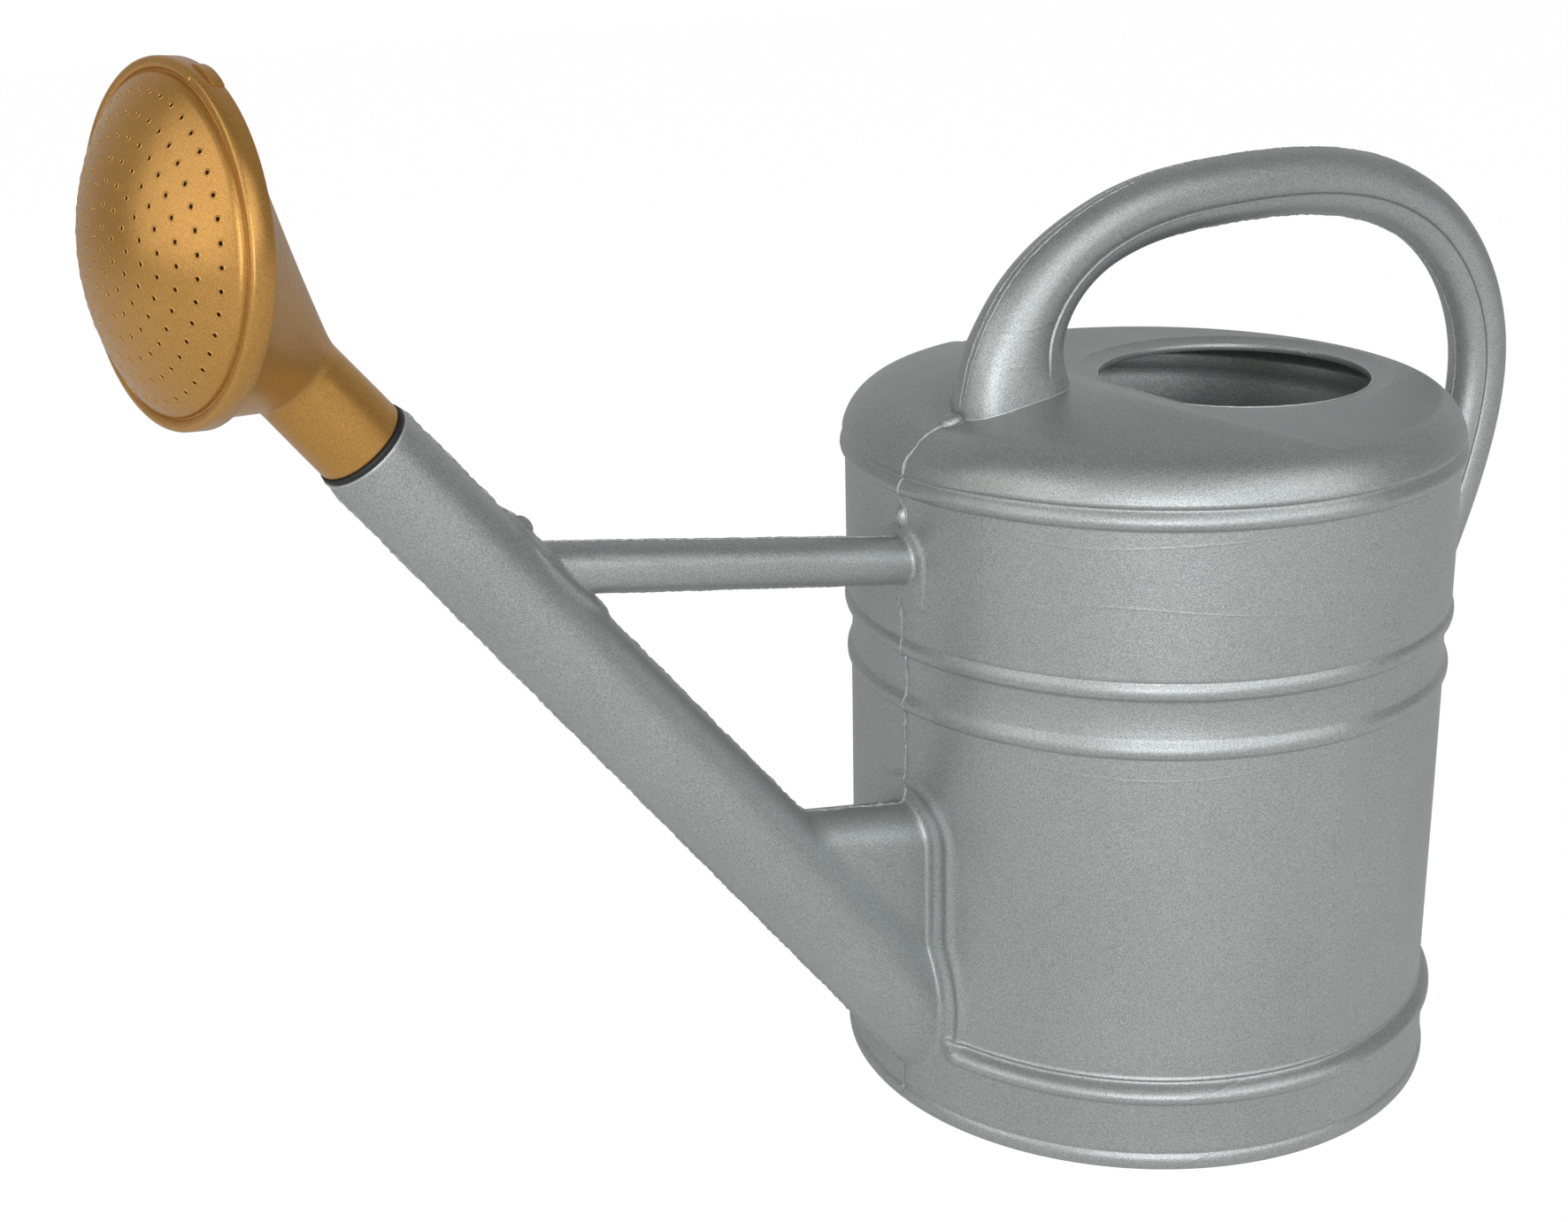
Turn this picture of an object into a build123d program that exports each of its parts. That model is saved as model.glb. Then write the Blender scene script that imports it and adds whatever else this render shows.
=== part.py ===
from build123d import *
import os
from math import atan2, cos, degrees, radians, sin, sqrt, tan

# Watering can: a blow-moulded can with a long spout, and a rose that turns, pulls off and opens.
# Millimetres. The origin is the centre of the base, +Z is up, and the spout points along -X.

# ---------------------------------------------------------------- tank, from the floor upwards
wall = 2.5                   # thickness of the moulded wall
wall_radius = 115.0          # outside of the plain lower wall
foot_step = 2.6              # the foot band stands this far out from the wall
base_bead_height = 7.0       # rounded bead that the can stands on
base_round = 3.6             # how far the standing face lies inside the foot band
foot_height = 26.0           # top of the foot band
foot_bead_height = 12.0      # half-round bead above the foot band
foot_bead_proud = 1.5        # how far that bead stands out from the foot band
bead_peak = 0.42             # share of a foot bead's height where it stands out most
lower_wall_height = 124.7    # plain wall between the foot bead and the waist
waist_height = 31.3          # double bead at the waist
waist_low_bead = 1.5         # the lower waist bead stands out this far
waist_low_peak = 0.19        # at this share of the waist's height, as the next three are:
waist_dip = 0.57             # the valley's bottom
waist_ledge = 0.745          # the upper bead's foot
waist_high_peak = 0.87       # the upper bead's peak
waist_valley = 0.7           # the valley between the beads dips in this far
waist_high_bead = 2.3        # the upper waist bead stands out this far
upper_step = 1.4             # the upper wall is this much larger than the lower wall
upper_wall_height = 50.5     # plain wall between the waist and the shoulder
shoulder_bead_height = 11.0  # half-round bead under the shoulder
shoulder_bead_proud = 2.0
shoulder_width = 22.8        # half-axes of the rounded shoulder above it
shoulder_height = 20.9
shoulder_step = 1.4          # the shoulder overhangs the upper wall by this much
shoulder_sink = 2.6          # the half-axes' centre lies this far below the shoulder's lower edge
shoulder_start = 11.0        # degrees round from the level, where that edge lies
crown_rise = 7.4             # the hood's crown rises this much above the shoulder
crown_slope = 8.0            # degrees, where the shoulder runs into the crown

# ---------------------------------------------------------------- flat rear panel and filler
panel_drop = 10.8            # the flat panel lies this far below the crown
fold_x = -9.0                # straight fold between the hood and the panel
fold_slope = 18.0            # degrees, the hood's short rear slope down to the fold
panel_round_start = 50.0     # degrees round the shoulder, where the panel's soft edge begins
filler_radius = 52.5         # filler opening
filler_x = 43.0
filler_chord = 5.5           # the opening stops this far behind the fold
recess_width = 8.5           # dished ring around the opening
recess_depth = 1.7
filler_lip = 1.2             # narrow level lip inside the dished ring

# ---------------------------------------------------------------- spout, gusset and brace
spout_angle = 51.1           # degrees above the level
spout_root_height = 47.6     # where the spout's axis meets the wall
spout_length = 323.4         # along the axis, from the wall to the mouth
spout_root_radius = 20.4
spout_mouth_radius = 16.25
spout_wall = 2.2
spout_mouth_wall = 1.65      # thinner around the socket for the seal
socket_depth = 20.0
spout_tail = 28.0            # how far the tube is drawn into the tank before it is trimmed
gusset_half_width = 13.8
gusset_root_height = 127.5   # top of the gusset at the wall
gusset_slope = 10.0          # degrees, its top rises towards the spout
border_width = 8.0           # raised double border around the spout's root
border_proud = 1.5
border_groove = 1.4          # width of the groove that parts the border's two ridges
border_groove_depth = 0.8
brace_radius = 8.85
brace_wall = 2.0
brace_height = 223.4         # where the brace's axis meets the upper wall
brace_angle = 10.0           # degrees, it rises towards the spout
wall_pad_half_width = 12.5   # arched pad around the brace on the wall
wall_pad_drop = 17.0         # it reaches this far below the brace's axis
wall_pad_proud = 1.2
spout_pad_length = 56.0      # oval pad around the brace on the spout
spout_pad_width = 25.0
spout_pad_proud = 1.5
nub_radius = 2.7             # small moulded nubs beside the joints
nub_length = 8.5
wall_nub_gap = 2.5           # from the brace to the nub above it on the wall
spout_nub_gap = 0.9          # and on the spout
hood_nub_radius = 3.8        # larger nub on the hood, in front of the handle
hood_nub_length = 9.5
hood_nub_inset = 20.5        # its centre inside the wall's radius
hood_nub_drop = 7.8          # and below the crown

# ---------------------------------------------------------------- handle
handle_front_inset = 50.0    # centre of the front root on the hood, inside the wall's radius
handle_sink = 17.0           # the front root starts this far below the crown
handle_straight = 8.0        # and rises straight this far
handle_rise = 60.0           # centreline above the crown
handle_reach = 68.0          # centreline behind the wall
handle_bends = (             # shares of the way back to the rearmost point and down to the root
    (0.048, 0.12), (0.19, 0.029), (0.391, 0.0), (0.617, 0.009), (0.815, 0.0755),
    (0.944, 0.204), (1.0, 0.364), (0.984, 0.537), (0.919, 0.724))
handle_root_height = 116.0   # where the handle meets the rear wall
handle_root_steps = ((22, 18), (-10, -12), (-30, -31))    # out from the wall and up from the root
handle_half_depth = 12.9     # half the section's depth along the grip
handle_front_flare = 5.0     # the front root is this much deeper
front_flare_share = 0.12     # over this share of the handle's length
handle_root_flare = 5.0      # and so is the rear root
root_flare_share = 0.1
handle_lobe_ratio = 0.846    # outer lobe's radius over the half depth
groove_ratio = 0.308         # the grooves lie this share of the half depth inside the centreline
handle_wall = 2.4
handle_sections = 15

# ---------------------------------------------------------------- rose
rose_turn = 11.5             # degrees, how the rose stands turned about the spout's axis
seal_height = 1.8            # rubber collar between the spout and the rose
seal_collar_radius = 15.9
seal_length = 16.0           # its sleeve inside the spout
seal_thickness = 1.8
running_gap = 0.06           # radial clearance of each turning or sliding fit
spigot_wall = 1.5
spigot_bead = 0.6            # bead that keeps the seal on the spigot
spigot_end = 2.5             # the spigot reaches this far past the seal
end_gap = 0.3                # play along an axis
face_gap = 0.1               # play between faces that meet
tube_mouth_radius = 15.25    # gold tube beside the spout
tube_crease_radius = 14.9    # and where it opens into the cone
tube_length = 30.6
tube_wall = 1.8
face_reach = 86.6            # from the spout's mouth to the centre of the face
face_tilt = 46.0             # degrees between the tube and the face's axis
cap_radius = 52.8            # outside of the face's rim
cap_depth = 6.0              # the rim reaches this far behind the groove
cap_wall = 1.8
groove_radius = 49.2         # groove between the dome and the rim
groove_width = 1.6
rim_rise = 1.4               # the rounded rim stands this much above the groove
cone_radius = 50.0           # where the cone runs in behind the rim
lip_back = 0.4               # the lip starts this far inside the rim
dome_radius = 80.0
dome_height = 19.0           # the dome's middle above the groove
hole_rings = 7
ring_pitch = 6.3             # from one ring of holes to the next
holes_per_ring = 6           # the first ring's count, which each next ring adds
hole_radius = 0.7
tab_width = 11.7             # thumb tab on the rim
tab_proud = 2.4
tab_thickness = 1.6
tab_angle = 151.2            # degrees round the rim, from its lowest point

# ---------------------------------------------------------------- worked-out values
foot_radius = wall_radius + foot_step
foot_bead_top = foot_height + foot_bead_height
waist_bottom = foot_bead_top + lower_wall_height
waist_top = waist_bottom + waist_height
upper_radius = wall_radius + upper_step
shoulder_bottom = waist_top + upper_wall_height
shoulder_top = shoulder_bottom + shoulder_bead_height
shoulder_radius = upper_radius + shoulder_step
crown_z = shoulder_top - shoulder_sink + shoulder_height + crown_rise
panel_z = crown_z - panel_drop
hood_nub_x = hood_nub_inset - wall_radius
handle_front = handle_front_inset - wall_radius
handle_top = crown_z + handle_rise
handle_back = wall_radius + handle_reach

along_spout = Vector(-cos(radians(spout_angle)), 0, sin(radians(spout_angle)))
below_spout = Vector(-sin(radians(spout_angle)), 0, -cos(radians(spout_angle)))
spout_frame = Plane(origin=(-wall_radius, 0, spout_root_height), x_dir=below_spout, z_dir=along_spout)
mouth_frame = spout_frame.offset(spout_length)
along_brace = Vector(-cos(radians(brace_angle)), 0, sin(radians(brace_angle)))
brace_frame = Plane(origin=(-upper_radius, 0, brace_height), x_dir=(0, 1, 0), z_dir=along_brace)
brace_run = (brace_height - spout_root_height + (wall_radius - upper_radius) * tan(radians(spout_angle))) / (
    sin(radians(spout_angle - brace_angle)) / cos(radians(spout_angle)))
rose_side = mouth_frame.x_dir * cos(radians(rose_turn)) + mouth_frame.y_dir * sin(radians(rose_turn))
rose_frame = Plane(origin=mouth_frame.origin, x_dir=rose_side, z_dir=along_spout)
crease_frame = rose_frame.offset(seal_height + tube_length)
face_normal = along_spout * cos(radians(face_tilt)) + rose_side * sin(radians(face_tilt))
face_down = rose_side * cos(radians(face_tilt)) - along_spout * sin(radians(face_tilt))
face_frame = Plane(origin=rose_frame.offset(face_reach).origin, x_dir=face_down, z_dir=face_normal)

mouth_bore = spout_mouth_radius - spout_mouth_wall
seal_outside = mouth_bore - running_gap
seal_bore = seal_outside - seal_thickness
spigot_radius = seal_bore - running_gap
tube_foot = seal_height + face_gap
lip_radius = cap_radius - cap_wall - running_gap


def turned(frame, outline):
    """Turn a closed outline of (radius, height) points about a frame's own z axis."""
    section = Plane(origin=frame.origin, x_dir=frame.x_dir, z_dir=-frame.y_dir)
    with BuildPart() as made:
        with BuildSketch(section):
            with BuildLine():
                Polyline(*outline, close=True)
            make_face()
        revolve(axis=Axis(frame.origin, frame.z_dir))
    return made.part


def tank_profile(inset, flat_top):
    """Half section of the tank, moved in by inset, with the hood's crown or the flat panel on top."""
    centre_z = shoulder_top - shoulder_sink
    width = shoulder_width - inset
    height = shoulder_height - inset
    valley_z = waist_bottom + waist_dip * waist_height
    ledge_z = waist_bottom + waist_ledge * waist_height
    shoulder_end = degrees(atan2(height, width * tan(radians(crown_slope))))
    if flat_top:
        shoulder_end = panel_round_start
    with BuildSketch(Plane.XZ) as section:
        with BuildLine():
            Line((0, inset), (foot_radius - base_round - inset, inset))
            ThreePointArc(
                (foot_radius - base_round - inset, inset),
                (foot_radius - inset, inset + bead_peak * (base_bead_height - inset)),
                (foot_radius - inset, base_bead_height))
            Line((foot_radius - inset, base_bead_height), (foot_radius - inset, foot_height))
            ThreePointArc(
                (foot_radius - inset, foot_height),
                (foot_radius + foot_bead_proud - inset, foot_height + bead_peak * foot_bead_height),
                (wall_radius - inset, foot_bead_top))
            Line((wall_radius - inset, foot_bead_top), (wall_radius - inset, waist_bottom))
            Spline(
                (wall_radius - inset, waist_bottom),
                (wall_radius + waist_low_bead - inset, waist_bottom + waist_low_peak * waist_height),
                (wall_radius - waist_valley - inset, valley_z),
                (wall_radius - inset, ledge_z))
            ThreePointArc(
                (wall_radius - inset, ledge_z),
                (wall_radius + waist_high_bead - inset, waist_bottom + waist_high_peak * waist_height),
                (upper_radius - inset, waist_top))
            Line((upper_radius - inset, waist_top), (upper_radius - inset, shoulder_bottom))
            ThreePointArc(
                (upper_radius - inset, shoulder_bottom),
                (upper_radius + shoulder_bead_proud - inset, (shoulder_bottom + shoulder_top) / 2),
                (upper_radius - inset, shoulder_top))
            shoulder = EllipticalCenterArc(
                (shoulder_radius - shoulder_width, centre_z), width, height,
                start_angle=shoulder_start, arc_size=shoulder_end - shoulder_start)
            Line((upper_radius - inset, shoulder_top), shoulder @ 0)
            leaving = shoulder % 1
            top = Vector(0, crown_z - inset)
            if flat_top:
                run = (panel_z - inset - (shoulder @ 1).Y) / leaving.Y
                top = Vector((shoulder @ 1).X + run * leaving.X - run, panel_z - inset)
            roof = TangentArc(shoulder @ 1, top, tangent=leaving)
            Polyline(roof @ 1, (0, top.Y), (0, inset))
        make_face()
    return section.sketch


def tank_solid(inset):
    """The tank as a filled solid, moved in by inset: crowned in front of the fold and flat behind it."""
    reach = 2 * wall_radius
    climb = reach * tan(radians(fold_slope))
    with BuildPart() as front:
        add(tank_profile(inset, flat_top=False))
        revolve(axis=Axis.Z)
        split(bisect_by=Plane.YZ.offset(fold_x), keep=Keep.BOTTOM)
        with BuildSketch(Plane.XZ):
            with BuildLine():
                Polyline((fold_x, panel_z - inset), (fold_x - reach, panel_z - inset + climb),
                         (fold_x, panel_z - inset + climb), close=True)
            make_face()
        extrude(amount=reach, both=True, mode=Mode.SUBTRACT)
    with BuildPart() as tank:
        add(tank_profile(inset, flat_top=True))
        revolve(axis=Axis.Z)
        split(bisect_by=Plane.YZ.offset(fold_x), keep=Keep.TOP)
        add(front.part)
    return tank.part


def nub(frame, radius, length):
    """A small bead, long along the frame's z axis."""
    with BuildPart() as bead:
        with BuildSketch(Plane(origin=frame.origin, x_dir=frame.x_dir, z_dir=-frame.y_dir)):
            Ellipse(radius, length / 2)
            Rectangle(radius, length, align=(Align.MAX, Align.CENTER), mode=Mode.SUBTRACT)
        revolve(axis=Axis(frame.origin, frame.z_dir))
    return bead.part


def spout_radius(station):
    """Outside radius of the spout at a distance along its axis from the wall."""
    return spout_root_radius + (spout_mouth_radius - spout_root_radius) * station / spout_length


def spout_cone(start, end, proud):
    """A filled length of the spout, standing out from its surface by proud."""
    return turned(spout_frame, [
        (0, start), (spout_radius(start) + proud, start), (spout_radius(end) + proud, end), (0, end)])


def spout_bore():
    """The water's way through the spout, with the straight socket for the seal."""
    socket_bottom = spout_length - socket_depth
    return turned(spout_frame, [
        (0, -spout_tail), (spout_radius(-spout_tail) - spout_wall, -spout_tail),
        (mouth_bore, socket_bottom), (mouth_bore, spout_length + end_gap), (0, spout_length + end_gap)])


def gusset_solid(inset):
    """The flat-sided fin between the spout and the wall, with a fully rounded top."""
    half_width = gusset_half_width - inset
    slope = Vector(-cos(radians(gusset_slope)), 0, sin(radians(gusset_slope)))
    top = Vector(-wall_radius, 0, gusset_root_height - gusset_half_width / cos(radians(gusset_slope)))
    start = top - slope * (gusset_half_width + wall)
    run = (top.Z - spout_root_height) / (tan(radians(spout_angle)) - tan(radians(gusset_slope)))
    end = top + slope * (run / cos(radians(gusset_slope)))
    foot = Vector(start.X, 0, spout_root_height - (start.X + wall_radius) * tan(radians(spout_angle)))
    with BuildPart() as fin:
        with BuildSketch(Plane.XZ):
            with BuildLine():
                Polyline((start.X, start.Z), (end.X, end.Z), (foot.X, foot.Z), close=True)
            make_face()
        extrude(amount=half_width, both=True)
        with BuildSketch(Plane(origin=start, x_dir=(0, 1, 0), z_dir=slope)):
            Circle(half_width)
        extrude(amount=(end - start).length)
    return fin.part


def brace_solid(inset):
    """The round brace between the upper wall and the spout."""
    with BuildPart() as rod:
        with BuildSketch(brace_frame.offset(-2 * brace_radius)):
            Circle(brace_radius - inset)
        extrude(amount=2 * brace_radius + brace_run)
    return rod.part


def handle_path():
    """The handle's centreline, from inside the hood over the top and down into the rear wall."""
    span = handle_back - handle_front
    fall = handle_top - handle_root_height
    start_z = crown_z - handle_sink
    bends = [(handle_front + back * span, handle_top - down * fall) for back, down in handle_bends]
    root = [(wall_radius + out, handle_root_height + up) for out, up in handle_root_steps]
    with BuildLine(Plane.XZ) as path:
        Spline((handle_front, start_z), (handle_front, start_z + handle_straight), *bends, *root)
    return path.line


def handle_solid(inset):
    """The handle: a fat outer lobe and a slimmer inner lobe, parted by a groove along each side."""
    path = handle_path()
    with BuildPart() as grip:
        for number in range(handle_sections):
            part_way = number / (handle_sections - 1)
            flare = handle_front_flare * max(0, 1 - part_way / front_flare_share)
            flare += handle_root_flare * max(0, 1 - (1 - part_way) / root_flare_share)
            half_depth = handle_half_depth + flare - inset
            lobe = half_depth * handle_lobe_ratio
            groove_u = -groove_ratio * half_depth
            groove_v = sqrt(lobe ** 2 - (half_depth - lobe - groove_u) ** 2)
            tangent = path % part_way
            outward = Vector(-tangent.Z, 0, tangent.X)
            with BuildSketch(Plane(origin=path @ part_way, x_dir=outward, z_dir=tangent)):
                with BuildLine():
                    ThreePointArc((groove_u, groove_v), (half_depth, 0), (groove_u, -groove_v))
                    ThreePointArc((groove_u, -groove_v), (-half_depth, 0), (groove_u, groove_v))
                make_face()
        loft()
    return grip.part


def filler_outline(level, radius, chord_x):
    """Outline of the filler opening: a circle cut off by a straight chord towards the hood."""
    with BuildSketch(Plane.XY.offset(level)) as outline:
        with Locations((filler_x, 0)):
            Circle(radius)
        with Locations((chord_x, 0)):
            Rectangle(2 * wall_radius, 2 * wall_radius, align=(Align.MIN, Align.CENTER), mode=Mode.INTERSECT)
    return outline.sketch


def filler_cut():
    """What is taken out of the panel: the opening and the dished ring that leads down to it."""
    dish = filler_radius + recess_width
    with BuildPart() as cut:
        add(filler_outline(panel_z, dish, fold_x + face_gap))
        add(filler_outline(panel_z - recess_depth, filler_radius + filler_lip,
                           fold_x + filler_chord - filler_lip))
        loft(ruled=True)
        add(filler_outline(panel_z - 2 * wall - recess_depth, filler_radius, fold_x + filler_chord))
        extrude(amount=3 * wall + recess_depth)
    return cut.part


tank_outside = tank_solid(0)
tank_inside = tank_solid(wall)
handle_outside = handle_solid(0)
handle_inside = handle_solid(handle_wall)
brace_inside = brace_solid(brace_wall)
gusset_inside = gusset_solid(wall)
bore = spout_bore()


def tank_band(low, high):
    """One level band of the tank's wall, open towards the spout, gusset, brace and handle."""
    with BuildPart() as band:
        add(tank_outside)
        add(tank_inside, mode=Mode.SUBTRACT)
        split(bisect_by=Plane.XY.offset(high), keep=Keep.BOTTOM)
        split(bisect_by=Plane.XY.offset(low), keep=Keep.TOP)
        for passage in (bore, gusset_inside, brace_inside, handle_inside):
            add(passage, mode=Mode.SUBTRACT)
    return band.part


def make_hood():
    with BuildPart() as hood:
        add(tank_band(shoulder_top, crown_z + wall))
        split(bisect_by=Plane.YZ.offset(fold_x), keep=Keep.BOTTOM)
    return hood.part


def make_filler_panel():
    with BuildPart() as panel:
        add(tank_band(shoulder_top, crown_z + wall))
        add(filler_outline(panel_z - wall - recess_depth, filler_radius + recess_width, fold_x))
        extrude(amount=recess_depth)
        split(bisect_by=Plane.YZ.offset(fold_x), keep=Keep.TOP)
        add(filler_cut(), mode=Mode.SUBTRACT)
    return panel.part


def make_handle():
    with BuildPart() as handle:
        add(handle_outside)
        add(handle_inside, mode=Mode.SUBTRACT)
        add(tank_outside, mode=Mode.SUBTRACT)
    return handle.part


def make_spout_tube():
    with BuildPart() as tube:
        add(spout_cone(-spout_tail, spout_length, 0))
        for space in (bore, tank_outside, gusset_inside, brace_inside):
            add(space, mode=Mode.SUBTRACT)
    return tube.part


def make_spout_gusset():
    with BuildPart() as fin:
        add(gusset_solid(0))
        add(gusset_inside, mode=Mode.SUBTRACT)
        add(spout_cone(-spout_tail, spout_length, 0), mode=Mode.SUBTRACT)
        add(tank_outside, mode=Mode.SUBTRACT)
    return fin.part


def root_outline(margin):
    """Outline of the gusset and the spout's root on the wall, set out by margin."""
    half_width = gusset_half_width + margin
    shoulder_z = gusset_root_height - gusset_half_width
    with BuildSketch() as outline:
        with Locations((0, spout_root_height)):
            Ellipse(spout_root_radius + margin, spout_root_radius / cos(radians(spout_angle)) + margin)
            Rectangle(2 * half_width, shoulder_z - spout_root_height, align=(Align.CENTER, Align.MIN))
        with Locations((0, shoulder_z)):
            Circle(half_width)
    return outline.sketch


def border_ring(inner, outer, proud):
    """A raised ring on the lower wall, between two margins around the spout's root."""
    with BuildPart() as ring:
        with BuildSketch(Plane.YZ.offset(-2 * wall_radius)):
            add(root_outline(outer))
            add(root_outline(inner), mode=Mode.SUBTRACT)
        extrude(amount=2 * wall_radius)
        with BuildSketch(Plane.XY.offset(foot_bead_top)):
            Circle(wall_radius + proud)
            Circle(wall_radius, mode=Mode.SUBTRACT)
        extrude(amount=lower_wall_height, mode=Mode.INTERSECT)
    return ring.part


def make_spout_border():
    middle = border_width / 2
    with BuildPart() as border:
        add(border_ring(0, middle - border_groove / 2, border_proud))
        add(border_ring(middle - border_groove / 2, middle + border_groove / 2,
                        border_proud - border_groove_depth))
        add(border_ring(middle + border_groove / 2, border_width, border_proud))
        add(spout_cone(-spout_tail, spout_length, 0), mode=Mode.SUBTRACT)
        add(gusset_solid(0), mode=Mode.SUBTRACT)
    return border.part


def make_brace_tube():
    with BuildPart() as brace:
        add(brace_solid(0))
        add(brace_inside, mode=Mode.SUBTRACT)
        add(tank_outside, mode=Mode.SUBTRACT)
        add(spout_cone(-spout_tail, spout_length, 0), mode=Mode.SUBTRACT)
    return brace.part


def make_brace_wall_pad():
    """Arched pad around the brace on the upper wall, with a nub above the brace."""
    with BuildPart() as pad:
        with BuildSketch(Plane.XY.offset(waist_top)):
            Circle(upper_radius + wall_pad_proud)
            Circle(upper_radius, mode=Mode.SUBTRACT)
        extrude(amount=upper_wall_height)
        with BuildPart(mode=Mode.PRIVATE) as arch:
            with BuildSketch(Plane.YZ.offset(-2 * wall_radius)):
                with Locations((0, brace_height)):
                    Circle(wall_pad_half_width)
                    Rectangle(2 * wall_pad_half_width, wall_pad_drop, align=(Align.CENTER, Align.MAX))
            extrude(amount=2 * wall_radius)
        add(arch.part, mode=Mode.INTERSECT)
        nub_z = brace_height + brace_radius + wall_nub_gap + nub_length / 2
        add(nub(Plane(origin=(-upper_radius, 0, nub_z)), nub_radius, nub_length))
        add(brace_solid(0), mode=Mode.SUBTRACT)
        add(tank_outside, mode=Mode.SUBTRACT)
    return pad.part


def make_brace_spout_pad():
    """Oval pad around the brace on the spout, with a nub above the brace."""
    turn = radians(spout_angle - brace_angle)
    centre = spout_frame.to_local_coords(brace_frame.origin + along_brace * brace_run).Z
    centre -= spout_radius(centre) / tan(turn)
    nub_station = centre + brace_radius / sin(turn) + spout_nub_gap + nub_length / 2
    with BuildPart() as pad:
        add(spout_cone(centre - spout_pad_length, centre + spout_pad_length, spout_pad_proud))
        with BuildPart(mode=Mode.PRIVATE) as oval:
            with BuildSketch(Plane(origin=spout_frame.offset(centre).origin,
                                   x_dir=along_spout, z_dir=-below_spout)):
                Ellipse(spout_pad_length / 2, spout_pad_width / 2)
            extrude(amount=2 * spout_root_radius)
        add(oval.part, mode=Mode.INTERSECT)
        nub_frame = spout_frame.offset(nub_station)
        nub_frame.origin = nub_frame.origin - below_spout * spout_radius(nub_station)
        add(nub(nub_frame, nub_radius, nub_length))
        add(spout_cone(-spout_tail, spout_length, 0), mode=Mode.SUBTRACT)
        add(brace_solid(0), mode=Mode.SUBTRACT)
    return pad.part


def make_hood_nub():
    """Nub on the hood, in front of the handle's root."""
    centre = Plane(origin=(hood_nub_x, 0, crown_z - hood_nub_drop), x_dir=(0, 1, 0), z_dir=(1, 0, 0))
    with BuildPart() as bump:
        add(nub(centre, hood_nub_radius, hood_nub_length))
        add(tank_outside, mode=Mode.SUBTRACT)
        add(handle_outside, mode=Mode.SUBTRACT)
    return bump.part


def make_rose_seal():
    """Rubber seal: a sleeve in the spout's socket and a collar on its rim."""
    return turned(mouth_frame, [
        (seal_bore, -seal_length), (seal_outside, -seal_length), (seal_outside, face_gap),
        (seal_collar_radius, face_gap), (seal_collar_radius, seal_height), (seal_bore, seal_height)])


def rose_cone(inset):
    """The oblique cone between the rose's tube and its tilted face, made as two mirrored halves."""
    sections = ((crease_frame, tube_crease_radius - inset),
                (face_frame.offset(-cap_depth), cone_radius - inset))
    with BuildPart() as cone:
        for frame, radius in sections:
            with BuildSketch(frame):
                with BuildLine():
                    ThreePointArc((radius, 0), (0, radius), (-radius, 0))
                    Line((-radius, 0), (radius, 0))
                make_face()
        loft(ruled=True)
        mirror(about=Plane(origin=rose_frame.origin, x_dir=rose_frame.x_dir, z_dir=rose_frame.y_dir))
    return cone.part


def make_rose_body():
    """Spigot, tube and oblique cone of the rose, ending in the lip that carries the face."""
    cone_end = face_frame.offset(-cap_depth)
    with BuildPart() as rose:
        add(turned(rose_frame, [
            (0, -seal_length - spigot_end), (spigot_radius + spigot_bead, -seal_length - spigot_end),
            (spigot_radius + spigot_bead, -seal_length - end_gap), (spigot_radius, -seal_length - end_gap),
            (spigot_radius, tube_foot), (tube_mouth_radius, tube_foot),
            (tube_crease_radius, seal_height + tube_length), (0, seal_height + tube_length)]))
        add(rose_cone(0))
        with BuildSketch(cone_end):
            Circle(cone_radius)
        extrude(amount=cap_depth - cap_wall - end_gap)
        with BuildSketch(cone_end.offset(lip_back)):
            Circle(lip_radius)
        extrude(amount=cap_depth - lip_back - cap_wall - end_gap)
        add(turned(rose_frame, [
            (0, -seal_length - spigot_end), (spigot_radius - spigot_wall, -seal_length - spigot_end),
            (spigot_radius - spigot_wall, tube_foot),
            (tube_crease_radius - tube_wall, tube_foot + tube_wall),
            (tube_crease_radius - tube_wall, seal_height + tube_length), (0, seal_height + tube_length)]),
            mode=Mode.SUBTRACT)
        add(rose_cone(tube_wall), mode=Mode.SUBTRACT)
        with BuildSketch(cone_end):
            Circle(cone_radius - tube_wall)
        extrude(amount=cap_depth, mode=Mode.SUBTRACT)
    return rose.part


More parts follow.
